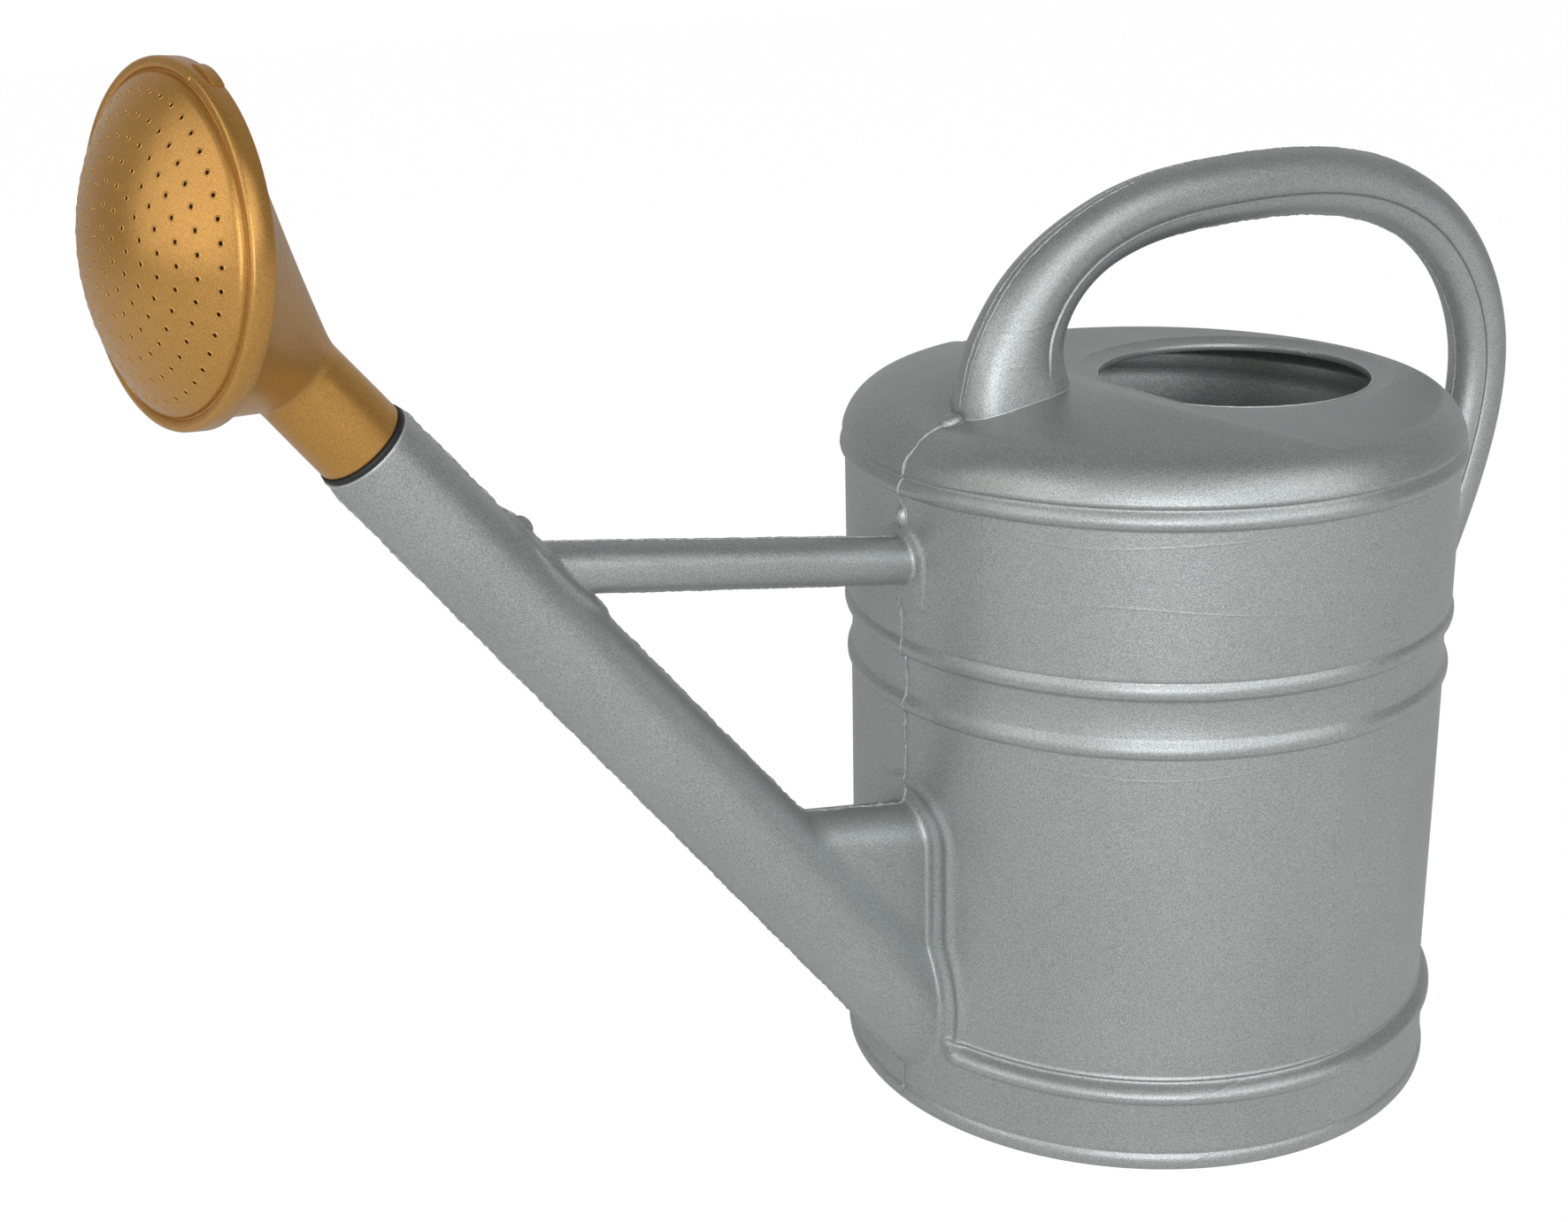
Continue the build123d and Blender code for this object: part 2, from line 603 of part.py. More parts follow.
def make_rose_face():
    """Domed, perforated face with a groove and a rounded rim, which clips over the lip."""
    centre_z = dome_height - dome_radius
    dome_edge = groove_radius - groove_width
    inner_edge = dome_edge - cap_wall
    inner_radius = dome_radius - cap_wall
    section = Plane(origin=face_frame.origin, x_dir=face_frame.x_dir, z_dir=-face_frame.y_dir)
    with BuildPart() as face:
        with BuildSketch(section):
            with BuildLine():
                RadiusArc((0, dome_height), (dome_edge, centre_z + sqrt(dome_radius ** 2 - dome_edge ** 2)),
                          dome_radius)
                Polyline(
                    (dome_edge, centre_z + sqrt(dome_radius ** 2 - dome_edge ** 2)),
                    (groove_radius - groove_width / 2, 0), (groove_radius + groove_width / 2, 0),
                    (groove_radius + groove_width / 2, rim_rise / 2))
                ThreePointArc(
                    (groove_radius + groove_width / 2, rim_rise / 2),
                    ((groove_radius + groove_width / 2 + cap_radius) / 2, rim_rise),
                    (cap_radius, -rim_rise))
                Polyline(
                    (cap_radius, -rim_rise), (cap_radius, -cap_depth), (cap_radius - cap_wall, -cap_depth),
                    (cap_radius - cap_wall, -cap_wall), (inner_edge, -cap_wall),
                    (inner_edge, centre_z + sqrt(inner_radius ** 2 - inner_edge ** 2)))
                RadiusArc((inner_edge, centre_z + sqrt(inner_radius ** 2 - inner_edge ** 2)),
                          (0, dome_height - cap_wall), -inner_radius)
                Line((0, dome_height - cap_wall), (0, dome_height))
            make_face()
        revolve(axis=Axis(face_frame.origin, face_frame.z_dir))
        with BuildSketch(face_frame):
            Circle(hole_radius)
            for ring in range(1, hole_rings + 1):
                with PolarLocations(ring * ring_pitch, ring * holes_per_ring):
                    Circle(hole_radius)
        extrude(amount=dome_height + cap_wall, mode=Mode.SUBTRACT)
    return face.part


def make_rose_tab():
    """Thumb tab on the rim's back edge."""
    with BuildPart() as tab:
        with BuildSketch(face_frame.offset(-cap_depth)):
            with PolarLocations(cap_radius - tab_proud, 1, start_angle=tab_angle):
                Rectangle(2 * tab_proud, tab_width, align=(Align.MIN, Align.CENTER))
            Circle(cap_radius, mode=Mode.SUBTRACT)
        extrude(amount=tab_thickness)
    return tab.part


pieces = {
    "base_pan": tank_band(0, foot_height),
    "lower_wall": tank_band(foot_height, waist_bottom),
    "waist_band": tank_band(waist_bottom, waist_top),
    "upper_wall": tank_band(waist_top, shoulder_top),
    "hood": make_hood(),
    "filler_panel": make_filler_panel(),
    "handle": make_handle(),
    "spout_tube": make_spout_tube(),
    "spout_gusset": make_spout_gusset(),
    "spout_border": make_spout_border(),
    "brace_tube": make_brace_tube(),
    "brace_wall_pad": make_brace_wall_pad(),
    "brace_spout_pad": make_brace_spout_pad(),
    "hood_nub": make_hood_nub(),
    "rose_seal": make_rose_seal(),
    "rose_body": make_rose_body(),
    "rose_face": make_rose_face(),
    "rose_tab": make_rose_tab(),
}

os.makedirs("parts", exist_ok=True)
for name, piece in pieces.items():
    piece.label = name
    export_step(piece, f"parts/{name}.step")
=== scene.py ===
"""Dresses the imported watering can: moulded silver tank and spout, gold rose, black seal."""
import logging
from collections.abc import Callable
from dataclasses import dataclass, field
from enum import Enum
from math import atan2, cos, degrees, pi, radians, sin, sqrt, tan

import bpy
import numpy as np
from mathutils import Matrix, Vector


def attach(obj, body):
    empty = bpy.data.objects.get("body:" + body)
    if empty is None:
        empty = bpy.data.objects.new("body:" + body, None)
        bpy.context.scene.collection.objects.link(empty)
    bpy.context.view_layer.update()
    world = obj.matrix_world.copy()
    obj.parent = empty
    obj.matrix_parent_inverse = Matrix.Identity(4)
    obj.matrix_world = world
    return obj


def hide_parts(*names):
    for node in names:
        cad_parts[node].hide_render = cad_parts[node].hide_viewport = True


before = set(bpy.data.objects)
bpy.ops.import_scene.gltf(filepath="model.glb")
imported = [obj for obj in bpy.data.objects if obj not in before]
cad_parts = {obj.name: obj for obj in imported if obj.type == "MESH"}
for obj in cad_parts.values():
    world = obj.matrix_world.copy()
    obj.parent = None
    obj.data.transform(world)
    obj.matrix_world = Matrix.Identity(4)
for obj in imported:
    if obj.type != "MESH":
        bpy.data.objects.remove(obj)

log = logging.getLogger("watering_can")
MM = 0.001
TINY = 1e-6
HALVINGS = 40
WAVES = 4
WAVE_RATES = (0.8, 1.25)
WAVE_GROWTH = 1.9
WAVE_FADE = 1.5
WAVE_SCALE = 2.2
SIDEWAYS = np.array([0.0, 1.0, 0.0])
UPRIGHT = np.array([0.0, 0.0, 1.0])
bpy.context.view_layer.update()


# ---------------------------------------------------------------- small helpers

def smooth_step(value: np.ndarray, low: float, high: float) -> np.ndarray:
    """Soft ramp from 0 at low to 1 at high.

    Args:
        value: where the ramp is read.
        low: start of the ramp.
        high: end of the ramp.

    Returns:
        The ramp's height at each value.
    """
    t = np.clip((np.asarray(value, dtype=float) - low) / (high - low), 0.0, 1.0)
    return t * t * (3.0 - 2.0 * t)


def soft_min(a: np.ndarray, b: np.ndarray, width: float) -> np.ndarray:
    """The smaller of two heights, rounded where they cross.

    Args:
        a: first height.
        b: second height.
        width: how wide the rounding is.

    Returns:
        The rounded minimum.
    """
    h = np.clip(0.5 + 0.5 * (b - a) / width, 0.0, 1.0)
    return b * (1.0 - h) + a * h - width * h * (1.0 - h)


def bump(value: np.ndarray, centre: float, width: float) -> np.ndarray:
    """Bell-shaped ridge.

    Args:
        value: where the ridge is read.
        centre: middle of the ridge.
        width: distance from the middle at which it has mostly gone.

    Returns:
        Height from 0 to 1.
    """
    return np.exp(-((np.asarray(value, dtype=float) - centre) / width) ** 2)


def wander(length: np.ndarray, seed: int, pitch: float) -> np.ndarray:
    """Gentle irregular waviness along a length.

    Args:
        length: positions in millimetres.
        seed: fixed seed.
        pitch: length of a typical wave in millimetres.

    Returns:
        Offsets between about -1 and 1.
    """
    rng = np.random.default_rng(seed)
    total = np.zeros_like(np.asarray(length, dtype=float))
    for octave in range(WAVES):
        phase = rng.uniform(0.0, 2.0 * pi)
        rate = 2.0 * pi * rng.uniform(*WAVE_RATES) * WAVE_GROWTH ** octave / pitch
        total += np.sin(length * rate + phase) / WAVE_FADE ** octave
    return total / WAVE_SCALE


def lengths_along(points: np.ndarray) -> np.ndarray:
    """Distance of each point from the first one, along the line through them."""
    return np.concatenate([[0.0], np.cumsum(np.linalg.norm(np.diff(points, axis=0), axis=1))])


def on_circle(radius: np.ndarray | float, angle: np.ndarray, height: np.ndarray | float) -> np.ndarray:
    """Points at radii and angles round the upright axis, at heights, one per row."""
    return np.stack(np.broadcast_arrays(radius * np.cos(angle), radius * np.sin(angle), height), axis=1)


def halve(within: Callable[[np.ndarray], np.ndarray], low: np.ndarray, high: np.ndarray) -> np.ndarray:
    """Where each column passes from inside a surface to outside it, found by halving.

    Args:
        within: whether each column is inside, given one distance for each.
        low: distances that are inside.
        high: distances that are outside.

    Returns:
        One distance for each column.
    """
    for _ in range(HALVINGS):
        middle = (low + high) / 2.0
        inside = within(middle)
        low, high = np.where(inside, middle, low), np.where(inside, high, middle)
    return (low + high) / 2.0


def smooth_curve(points: np.ndarray, samples: int) -> np.ndarray:
    """A smooth curve through points, as a natural cubic spline over its chords.

    Args:
        points: points to pass through, one per row.
        samples: how many points to return.

    Returns:
        Points spread evenly over the chord length.
    """
    steps = np.linalg.norm(np.diff(points, axis=0), axis=1)
    knots = lengths_along(points)
    size = len(points)
    system = np.eye(size)
    right = np.zeros_like(points)
    for i in range(1, size - 1):
        system[i, i - 1:i + 2] = (steps[i - 1], 2.0 * (steps[i - 1] + steps[i]), steps[i])
        right[i] = 6.0 * ((points[i + 1] - points[i]) / steps[i] - (points[i] - points[i - 1]) / steps[i - 1])
    bend = np.linalg.solve(system, right)
    at = np.linspace(0.0, knots[-1], samples)
    part = np.clip(np.searchsorted(knots, at, side="right") - 1, 0, size - 2)
    h = steps[part][:, None]
    a = (knots[part + 1] - at)[:, None] / h
    b = (at - knots[part])[:, None] / h
    return (a * points[part] + b * points[part + 1]
            + ((a ** 3 - a) * bend[part] + (b ** 3 - b) * bend[part + 1]) * h ** 2 / 6.0)


def placed(name: str, data: bpy.types.ID) -> bpy.types.Object:
    """Makes an object from its data and puts it in the scene."""
    made = bpy.data.objects.new(name, data)
    bpy.context.scene.collection.objects.link(made)
    return made


def mesh_object(name: str, points: np.ndarray, faces: list[tuple[int, ...]], smooth: bool = True
                ) -> bpy.types.Object:
    """Makes a mesh object from points in millimetres.

    Args:
        name: the piece's name.
        points: one point per row.
        faces: corner numbers of each face.
        smooth: whether it is shaded smooth.

    Returns:
        The new object, at the origin.
    """
    mesh = bpy.data.meshes.new(name)
    mesh.from_pydata((np.asarray(points) * MM).tolist(), [], faces)
    if smooth:
        mesh.polygons.foreach_set("use_smooth", [True] * len(mesh.polygons))
    mesh.update()
    return placed(name, mesh)


def grid_faces(rows: int, columns: int, closed: bool = False, first: int = 0) -> list[tuple[int, ...]]:
    """Quads of a grid of points stored row by row, each row being a loop.

    Args:
        rows: number of rows.
        columns: number of points in each row.
        closed: whether the last row joins the first.
        first: number of the grid's first point.

    Returns:
        Corner numbers of each quad.
    """
    faces = []
    for i in range(rows if closed else rows - 1):
        low = first + i * columns
        high = first + ((i + 1) % rows) * columns
        for j in range(columns):
            k = (j + 1) % columns
            faces.append((low + j, low + k, high + k, high + j))
    return faces


def capped_faces(rows: int, columns: int) -> list[tuple[int, ...]]:
    """Faces of a grid whose rows are loops, with a fan of triangles at each end.

    Args:
        rows: number of rows.
        columns: number of points in each row.

    Returns:
        Corner numbers. The fans' tips are the two points after the grid: the first row's, then the last's.
    """
    faces = grid_faces(rows, columns)
    first = rows * columns
    end = (rows - 1) * columns
    for j in range(columns):
        k = (j + 1) % columns
        faces.append((first, k, j))
        faces.append((first + 1, end + j, end + k))
    return faces


def unit(vector: np.ndarray) -> np.ndarray:
    """Vectors scaled to length 1, along the last axis."""
    v = np.asarray(vector, dtype=float)
    return v / np.linalg.norm(v, axis=-1, keepdims=True)


def bend_rows(start: np.ndarray, corner: np.ndarray, end: np.ndarray, steps: int) -> list[np.ndarray]:
    """Rows of a concave fillet from start to end, pulled towards the corner between them.

    Args:
        start: points where the fillet leaves the tube.
        corner: points where tube and wall would meet.
        end: points where it lands on the wall.
        steps: number of rows.

    Returns:
        The rows after the start, the landing among them.
    """
    rows = []
    for t in np.linspace(0.0, 1.0, steps + 1)[1:]:
        rows.append((1.0 - t) ** 2 * start + 2.0 * t * (1.0 - t) * corner + t ** 2 * end)
    return rows


def tube_shell(name: str, outer: list[np.ndarray], inner: list[np.ndarray]) -> bpy.types.Object:
    """A closed tube from its outer rows and then its inner rows, joined at both ends.

    Args:
        name: the piece's name.
        outer: rows of the outside, from one end to the other.
        inner: rows of the inside, back again.

    Returns:
        The tube.
    """
    grid = np.array(outer + inner)
    piece = mesh_object(name, grid.reshape(-1, 3), grid_faces(*grid.shape[:2], closed=True))
    outward(piece)
    return piece


def outward(piece: bpy.types.Object) -> None:
    """Turns a closed mesh's faces outwards, by the sign of its volume.

    Args:
        piece: the object with the mesh.
    """
    mesh = piece.data
    points = np.empty(len(mesh.vertices) * 3)
    mesh.vertices.foreach_get("co", points)
    points = points.reshape(-1, 3)
    volume = 0.0
    for face in mesh.polygons:
        corners = points[list(face.vertices)]
        for i in range(1, len(corners) - 1):
            volume += float(np.dot(corners[0], np.cross(corners[i], corners[i + 1])))
    if volume < 0.0:
        mesh.flip_normals()


@dataclass(frozen=True)
class Axes:
    """A local frame: an origin in millimetres and three unit directions."""

    origin: np.ndarray
    x: np.ndarray
    y: np.ndarray
    z: np.ndarray

    def place(self, points: np.ndarray) -> np.ndarray:
        """Moves local points into the object's frame."""
        p = np.asarray(points)
        return self.origin + p[..., :1] * self.x + p[..., 1:2] * self.y + p[..., 2:3] * self.z


class Graph:
    """A node tree, with short ways to add nodes and to link or set their inputs."""

    def __init__(self, tree: bpy.types.NodeTree) -> None:
        """Keeps the tree's nodes and links."""
        self.nodes, self.links = tree.nodes, tree.links

    def feed(self, node: bpy.types.Node, values: dict) -> None:
        """Links or sets a node's inputs.

        Args:
            node: the node.
            values: a socket to link or a value to set, for each input's name or number.
        """
        for key, value in values.items():
            if isinstance(value, bpy.types.NodeSocket):
                self.links.new(value, node.inputs[key])
            else:
                node.inputs[key].default_value = value

    def add(self, kind: str, values: dict | None = None, output: str | int = 0, **settings: str
            ) -> bpy.types.NodeSocket:
        """Adds a node.

        Args:
            kind: the node's type.
            values: a socket to link or a value to set, for each input's name or number.
            output: name or number of the output that is wanted.
            settings: the node's own settings, such as its operation.

        Returns:
            The output that is wanted.
        """
        node = self.nodes.new(kind)
        for name, setting in settings.items():
            setattr(node, name, setting)
        self.feed(node, values or {})
        return node.outputs[output]

    def math(self, operation: str, *values: bpy.types.NodeSocket | float) -> bpy.types.NodeSocket:
        """Adds a math node on values or sockets."""
        return self.add("ShaderNodeMath", dict(enumerate(values)), operation=operation)

    def finish(self, kind: str, share: bpy.types.NodeSocket, first: bpy.types.NodeSocket,
               second: bpy.types.NodeSocket) -> None:
        """Mixes two shaders into the tree's output.

        Args:
            kind: the output node's type.
            share: the second shader's share.
            first: the first shader.
            second: the second shader.
        """
        mixed = self.add("ShaderNodeMixShader", {0: share, 1: first, 2: second})
        self.feed(self.nodes.new(kind), {"Surface": mixed})


# ---------------------------------------------------------------- finishes

def new_material(name: str) -> tuple[bpy.types.Material, Graph]:
    """Makes a material and gives its nodes too."""
    made = bpy.data.materials.new(name)
    made.use_nodes = True
    return made, Graph(made.node_tree)


class Slot(Enum):
    """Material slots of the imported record."""

    SILVER = "silver_plastic"
    GOLD = "gold_plastic"
    RUBBER = "seal_rubber"


@dataclass(frozen=True)
class Noise:
    """A noise texture, and the depth in metres to which it shapes a surface."""

    scale: float
    detail: float
    rough: float
    depth: float = 0.0

    def value(self, graph: Graph, place: bpy.types.NodeSocket) -> bpy.types.NodeSocket:
        """The noise at a place."""
        values = {"Vector": place, "Scale": self.scale, "Detail": self.detail, "Roughness": self.rough}
        return graph.add("ShaderNodeTexNoise", values, "Fac")


CLOUDS = Noise(14.0, 3.0, 0.55)
FLAKES = Noise(2300.0, 0.0, 0.5)
POLISH = Noise(45.0, 4.0, 0.6)
SAND = Noise(1700.0, 1.0, 0.6, 0.00014)
RIPPLES = Noise(380.0, 2.0, 0.5, 0.00035)
MELT = Noise(1.0, 1.0, 0.4, 0.00035)
RUBBER_GRAIN = Noise(1400.0, 2.0, 0.5, 0.0001)


def ramp(graph: Graph, value: bpy.types.NodeSocket, low: float, high: float) -> bpy.types.NodeSocket:
    """A value stretched from low..high to 0..1."""
    return graph.add("ShaderNodeMapRange", {"Value": value, "From Min": low, "From Max": high}, "Result")


def surface_normal(graph: Graph, layers: list[tuple[bpy.types.NodeSocket, float, float]]
                   ) -> bpy.types.NodeSocket:
    """Bumps laid over one another.

    Args:
        graph: the material's nodes.
        layers: height, depth in metres and strength of each bump; those without strength are left out.

    Returns:
        The surface's normal.
    """
    normal = None
    for height, depth, strength in layers:
        if strength <= 0.0:
            continue
        values = {"Height": height, "Distance": depth, "Strength": strength}
        if normal is not None:
            values["Normal"] = normal
        normal = graph.add("ShaderNodeBump", values, "Normal")
    return normal


@dataclass(frozen=True)
class MouldedPlastic:
    """Metallic moulded plastic with a fine grain, metal flakes and faint flow lines."""

    name: str
    slot: Slot
    color: tuple[float, float, float]
    dark: tuple[float, float, float]
    metallic: float
    roughness: float
    grain: float
    streak: float
    sparkle: float
    specular: float = 0.5
    roughness_spread: tuple[float, float] = (-0.05, 0.07)
    cloud_span: tuple[float, float] = (0.25, 0.75)
    flake_span: tuple[float, float] = (0.3, 0.7)
    ripple_share: float = 0.4
    line_turn: tuple[float, float, float] = (0.1, 0.35, 0.0)
    line_stretch: tuple[float, float, float] = (2.0, 2.0, 11.0)
    line_pitch: float = 0.06
    line_width: float = 0.0022

    def material(self) -> bpy.types.Material:
        """Builds the material.

        Returns:
            The new material.
        """
        made, graph = new_material(self.name)
        place = graph.add("ShaderNodeTexCoord", output="Object")
        clouds = ramp(graph, CLOUDS.value(graph, place), *self.cloud_span)
        tone = graph.add("ShaderNodeMixRGB", {"Fac": clouds, "Color1": (*self.dark, 1.0),
                                              "Color2": (*self.color, 1.0)}, "Color")
        flakes = ramp(graph, FLAKES.value(graph, place), *self.flake_span)
        glint = graph.add("ShaderNodeMixRGB", {"Fac": self.sparkle, "Color1": tone, "Color2": flakes},
                          "Color", blend_type="OVERLAY")
        less, more = self.roughness_spread
        rough = graph.add("ShaderNodeMapRange", {"Value": POLISH.value(graph, place),
                                                 "To Min": self.roughness + less,
                                                 "To Max": self.roughness + more}, "Result")
        normal = surface_normal(graph, [(SAND.value(graph, place), SAND.depth, self.grain),
                                        (RIPPLES.value(graph, place), RIPPLES.depth,
                                         self.grain * self.ripple_share),
                                        (self._flow_lines(graph, place), MELT.depth, self.streak)])
        graph.feed(graph.nodes["Principled BSDF"], {
            "Base Color": glint, "Metallic": self.metallic, "Roughness": rough,
            "Specular IOR Level": self.specular, "Normal": normal})
        return made

    def _flow_lines(self, graph: Graph, place: bpy.types.NodeSocket) -> bpy.types.NodeSocket:
        """Long thin lines that the melt left, as the contours of a drawn-out noise."""
        drawn = graph.add("ShaderNodeMapping", {"Vector": place, "Rotation": self.line_turn,
                                                "Scale": self.line_stretch}, "Vector")
        near = graph.math("PINGPONG", MELT.value(graph, drawn), self.line_pitch)
        return ramp(graph, near, self.line_width, 0.0)


@dataclass(frozen=True)
class PlainRubber:
    """Matte black rubber."""

    name: str = "black_seal_rubber"
    slot: Slot = Slot.RUBBER
    color: tuple[float, float, float] = (0.012, 0.012, 0.013)
    roughness: float = 0.55
    grain: float = 0.4

    def material(self) -> bpy.types.Material:
        """Builds the material.

        Returns:
            The new material.
        """
        made, graph = new_material(self.name)
        place = graph.add("ShaderNodeTexCoord", output="Object")
        normal = surface_normal(graph, [(RUBBER_GRAIN.value(graph, place), RUBBER_GRAIN.depth, self.grain)])
        graph.feed(graph.nodes["Principled BSDF"], {"Base Color": (*self.color, 1.0),
                                                    "Roughness": self.roughness, "Normal": normal})
        return made


SILVER = MouldedPlastic("silver_moulded_plastic", Slot.SILVER, color=(0.40, 0.425, 0.42),
                        dark=(0.35, 0.375, 0.37), metallic=0.65, roughness=0.38, grain=0.5, streak=0.15,
                        sparkle=0.22)
# Lighter silver for the thin edge ridges: the lighter colour is a painted highlight standing in for the
# bright lines along these edges, on real ridges.
EDGE_PAINTED_HIGHLIGHT = MouldedPlastic("silver_edge_painted_highlight", Slot.SILVER, color=(0.54, 0.57, 0.56),
                         dark=(0.46, 0.49, 0.48), metallic=0.50, roughness=0.38, grain=0.4, streak=0.0,
                         sparkle=0.10)
GOLD = MouldedPlastic("gold_moulded_plastic", Slot.GOLD, color=(0.52, 0.275, 0.07),
                      dark=(0.46, 0.235, 0.055), metallic=0.60, roughness=0.28, grain=0.18, streak=0.0,
                      sparkle=0.14)
RUBBER = PlainRubber()
Finish = MouldedPlastic | PlainRubber


class Workshop:
    """Dresses pieces and tells the frame where they belong."""

    def __init__(self) -> None:
        """Builds each finish once."""
        self.materials = {finish.name: finish.material() for finish in (SILVER, EDGE_PAINTED_HIGHLIGHT, GOLD, RUBBER)}

    def install(self, piece: bpy.types.Object, finish: Finish, body: str, *nodes: str) -> None:
        """Dresses a piece, lets it ride on a body and hides the CAD nodes that it stands for.

        Args:
            piece: the new piece.
            finish: its finish.
            body: the body it moves with.
            nodes: CAD nodes that it replaces.
        """
        piece.data.materials.clear()
        piece.data.materials.append(self.materials[finish.name])
        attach(piece, body)
        if nodes:
            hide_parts(*nodes)
        log.info("%s: %d faces on %s", piece.name, len(piece.data.polygons), body)


# ---------------------------------------------------------------- the tank's skin

@dataclass
class TankSkin:
    """The tank's outside and inside as one shell, with its beads, pads, border, hood and filler.

    Lengths are in millimetres, slopes and spreads in degrees. Profiles hold (radius, height) points.
    """

    wall: float = 2.5
    radius: float = 115.0
    foot_radius: float = 117.6
    upper_radius: float = 116.4
    foot_band: float = 116.8
    foot_span: tuple[float, float] = (9.2, 27.2)
    lower_span: tuple[float, float] = (39.6, 163.4)
    upper_span: tuple[float, float] = (195.2, 247.0)
    standing_radius: float = 113.7
    base_level: float = 2.2
    base: tuple[tuple[float, float], ...] = (
        (12.0, 2.2), (45.0, 2.2), (80.0, 2.2), (98.0, 2.2), (101.0, 2.0), (103.0, 1.2), (105.0, 0.2),
        (107.0, 0.0), (113.6, 0.0))
    base_bead: tuple[tuple[float, float], ...] = (
        (115.4, 0.12), (116.6, 0.75), (117.3, 1.8), (117.6, 3.2), (117.58, 4.6), (117.38, 5.7), (117.0, 6.5),
        (116.66, 7.0), (116.5, 7.4), (116.6, 7.8), (116.76, 8.4))
    foot_bead: tuple[tuple[float, float], ...] = (
        (116.8, 27.7), (116.95, 28.1), (117.9, 28.7), (118.7, 29.6), (119.05, 30.7), (119.0, 31.7),
        (118.65, 32.6), (118.0, 33.5), (117.1, 34.3), (116.1, 35.0), (115.2, 35.6), (114.65, 36.2),
        (114.6, 36.8), (115.0, 37.2), (115.5, 37.55), (115.5, 37.95), (115.15, 38.35), (115.0, 38.8))
    waist: tuple[tuple[float, float], ...] = (
        (115.0, 164.0), (115.0, 164.35), (115.35, 164.7), (116.1, 165.4), (116.5, 166.2), (116.62, 167.1),
        (116.6, 168.0), (116.4, 168.9), (116.05, 169.8), (115.6, 170.7), (115.25, 171.5), (115.06, 172.1),
        (115.0, 172.7), (114.76, 174.2), (114.6, 176.0), (114.5, 178.0), (114.48, 180.5), (114.58, 183.0),
        (114.76, 185.4), (114.9, 186.2), (115.3, 186.5), (116.3, 187.1), (117.0, 187.9), (117.28, 188.9),
        (117.3, 190.2), (117.16, 191.1), (116.86, 191.9), (116.5, 192.7), (116.2, 193.3), (116.1, 193.6),
        (116.25, 193.9), (116.4, 194.3))
    shoulder_bead: tuple[tuple[float, float], ...] = (
        (116.4, 247.7), (116.42, 248.1), (116.8, 248.4), (117.6, 249.0), (118.2, 249.9), (118.4, 250.9),
        (118.3, 251.8), (118.0, 252.7), (117.5, 253.6), (116.95, 254.4), (116.45, 255.0), (116.2, 255.5),
        (116.3, 255.95), (116.8, 256.3), (117.25, 256.6))
    shoulder_centre: tuple[float, float] = (95.0, 252.9)
    shoulder_axes: tuple[float, float] = (22.8, 20.9)
    crown: float = 281.2
    crown_slope: float = 8.0
    panel: float = 270.4
    fold: float = -9.0
    fold_slope: float = 18.0
    fold_radius: float = 117.4
    fold_hold: float = 14.0
    edge_softness: float = 0.9
    hood_softness: float = 2.3
    soften_run: float = 25.0
    shoulder_from: float = 11.0
    roof_reach: float = 98.0
    roof_reach_behind: float = 8.0
    roof_turn: tuple[float, float] = (-0.35, 0.05)
    roof_settle: float = 0.35
    filler_radius: float = 52.5
    filler_x: float = 43.0
    filler_chord: float = -4.4
    recess_width: float = 8.5
    recess_chord: float = 4.6
    recess_depth: float = 1.7
    root_height: float = 47.6
    root_half_width: float = 20.4
    root_half_height: float = 32.5
    root_scale: float = 22.0
    root_blend: float = 2.2
    gusset_half_width: float = 13.8
    gusset_top: float = 113.5
    border_peaks: tuple[float, float] = (2.6, 9.2)
    border_width: float = 1.9
    border_proud: float = 1.25
    border_rise: tuple[float, float] = (33.0, 41.0)
    border_fall: tuple[float, float] = (146.0, 152.0)
    border_foot: tuple[float, float] = (24.5, 35.0)
    border_foot_size: tuple[float, float] = (5.0, 3.6)
    border_foot_proud: float = 1.3
    bead_end: tuple[float, float] = (21.0, 29.0)
    brace_height: float = 223.4
    pad_half_width: float = 12.5
    pad_drop: float = 17.0
    pad_proud: float = 1.2
    pad_edge: tuple[float, float] = (-1.6, 1.4)
    pad_rim: tuple[float, float, float] = (0.35, -0.6, 1.1)
    pad_rim_drop: float = 8.0
    waves: tuple[tuple[float, float, float], ...] = ((0.10, 3.0, 41.0), (0.06, 7.0, -23.0))
    wave_sink: float = 0.16
    wave_start: tuple[float, float] = (9.0, 14.0)
    sag: float = 3.3
    sag_spread: float = 15.0
    sag_rise: tuple[float, float] = (68.0, 100.0)
    sag_fall: tuple[float, float] = (113.0, 117.6)
    sag_kept: float = 0.5
    sag_inward: float = 0.75
    seam_drop: float = 1.05
    seam_drop_rise: tuple[float, float] = (242.0, 256.0)
    column_counts: tuple[int, int, int] = (79, 28, 77)
    column_pitch: float = 2.2
    columns_at_fold: tuple[float, float] = (0.35, 0.9)
    side_end: float = 160.0
    front_half: float = 19.5
    outline: np.ndarray = field(init=False)
    columns: np.ndarray = field(init=False)
    front_seam: np.ndarray = field(init=False)
    rear_seam: np.ndarray = field(init=False)

    def __post_init__(self) -> None:
        """Works out the profile and the columns once."""
        self.outline = self._outline()
        self.columns = self._columns()

    # ---- profile and heights

    def _outline(self) -> np.ndarray:
        """Profile from the base's centre up to the shoulder's lower edge, as (radius, height) rows."""
        points = [*self.base, *self.base_bead]
        points += [(self.foot_band, z) for z in np.linspace(*self.foot_span, 13)]
        points += [*self.foot_bead]
        points += [(self.radius, z) for z in np.linspace(*self.lower_span, 90)]
        points += [*self.waist]
        points += [(self.upper_radius, z) for z in np.linspace(*self.upper_span, 38)]
        points += [*self.shoulder_bead]
        return np.array(points)

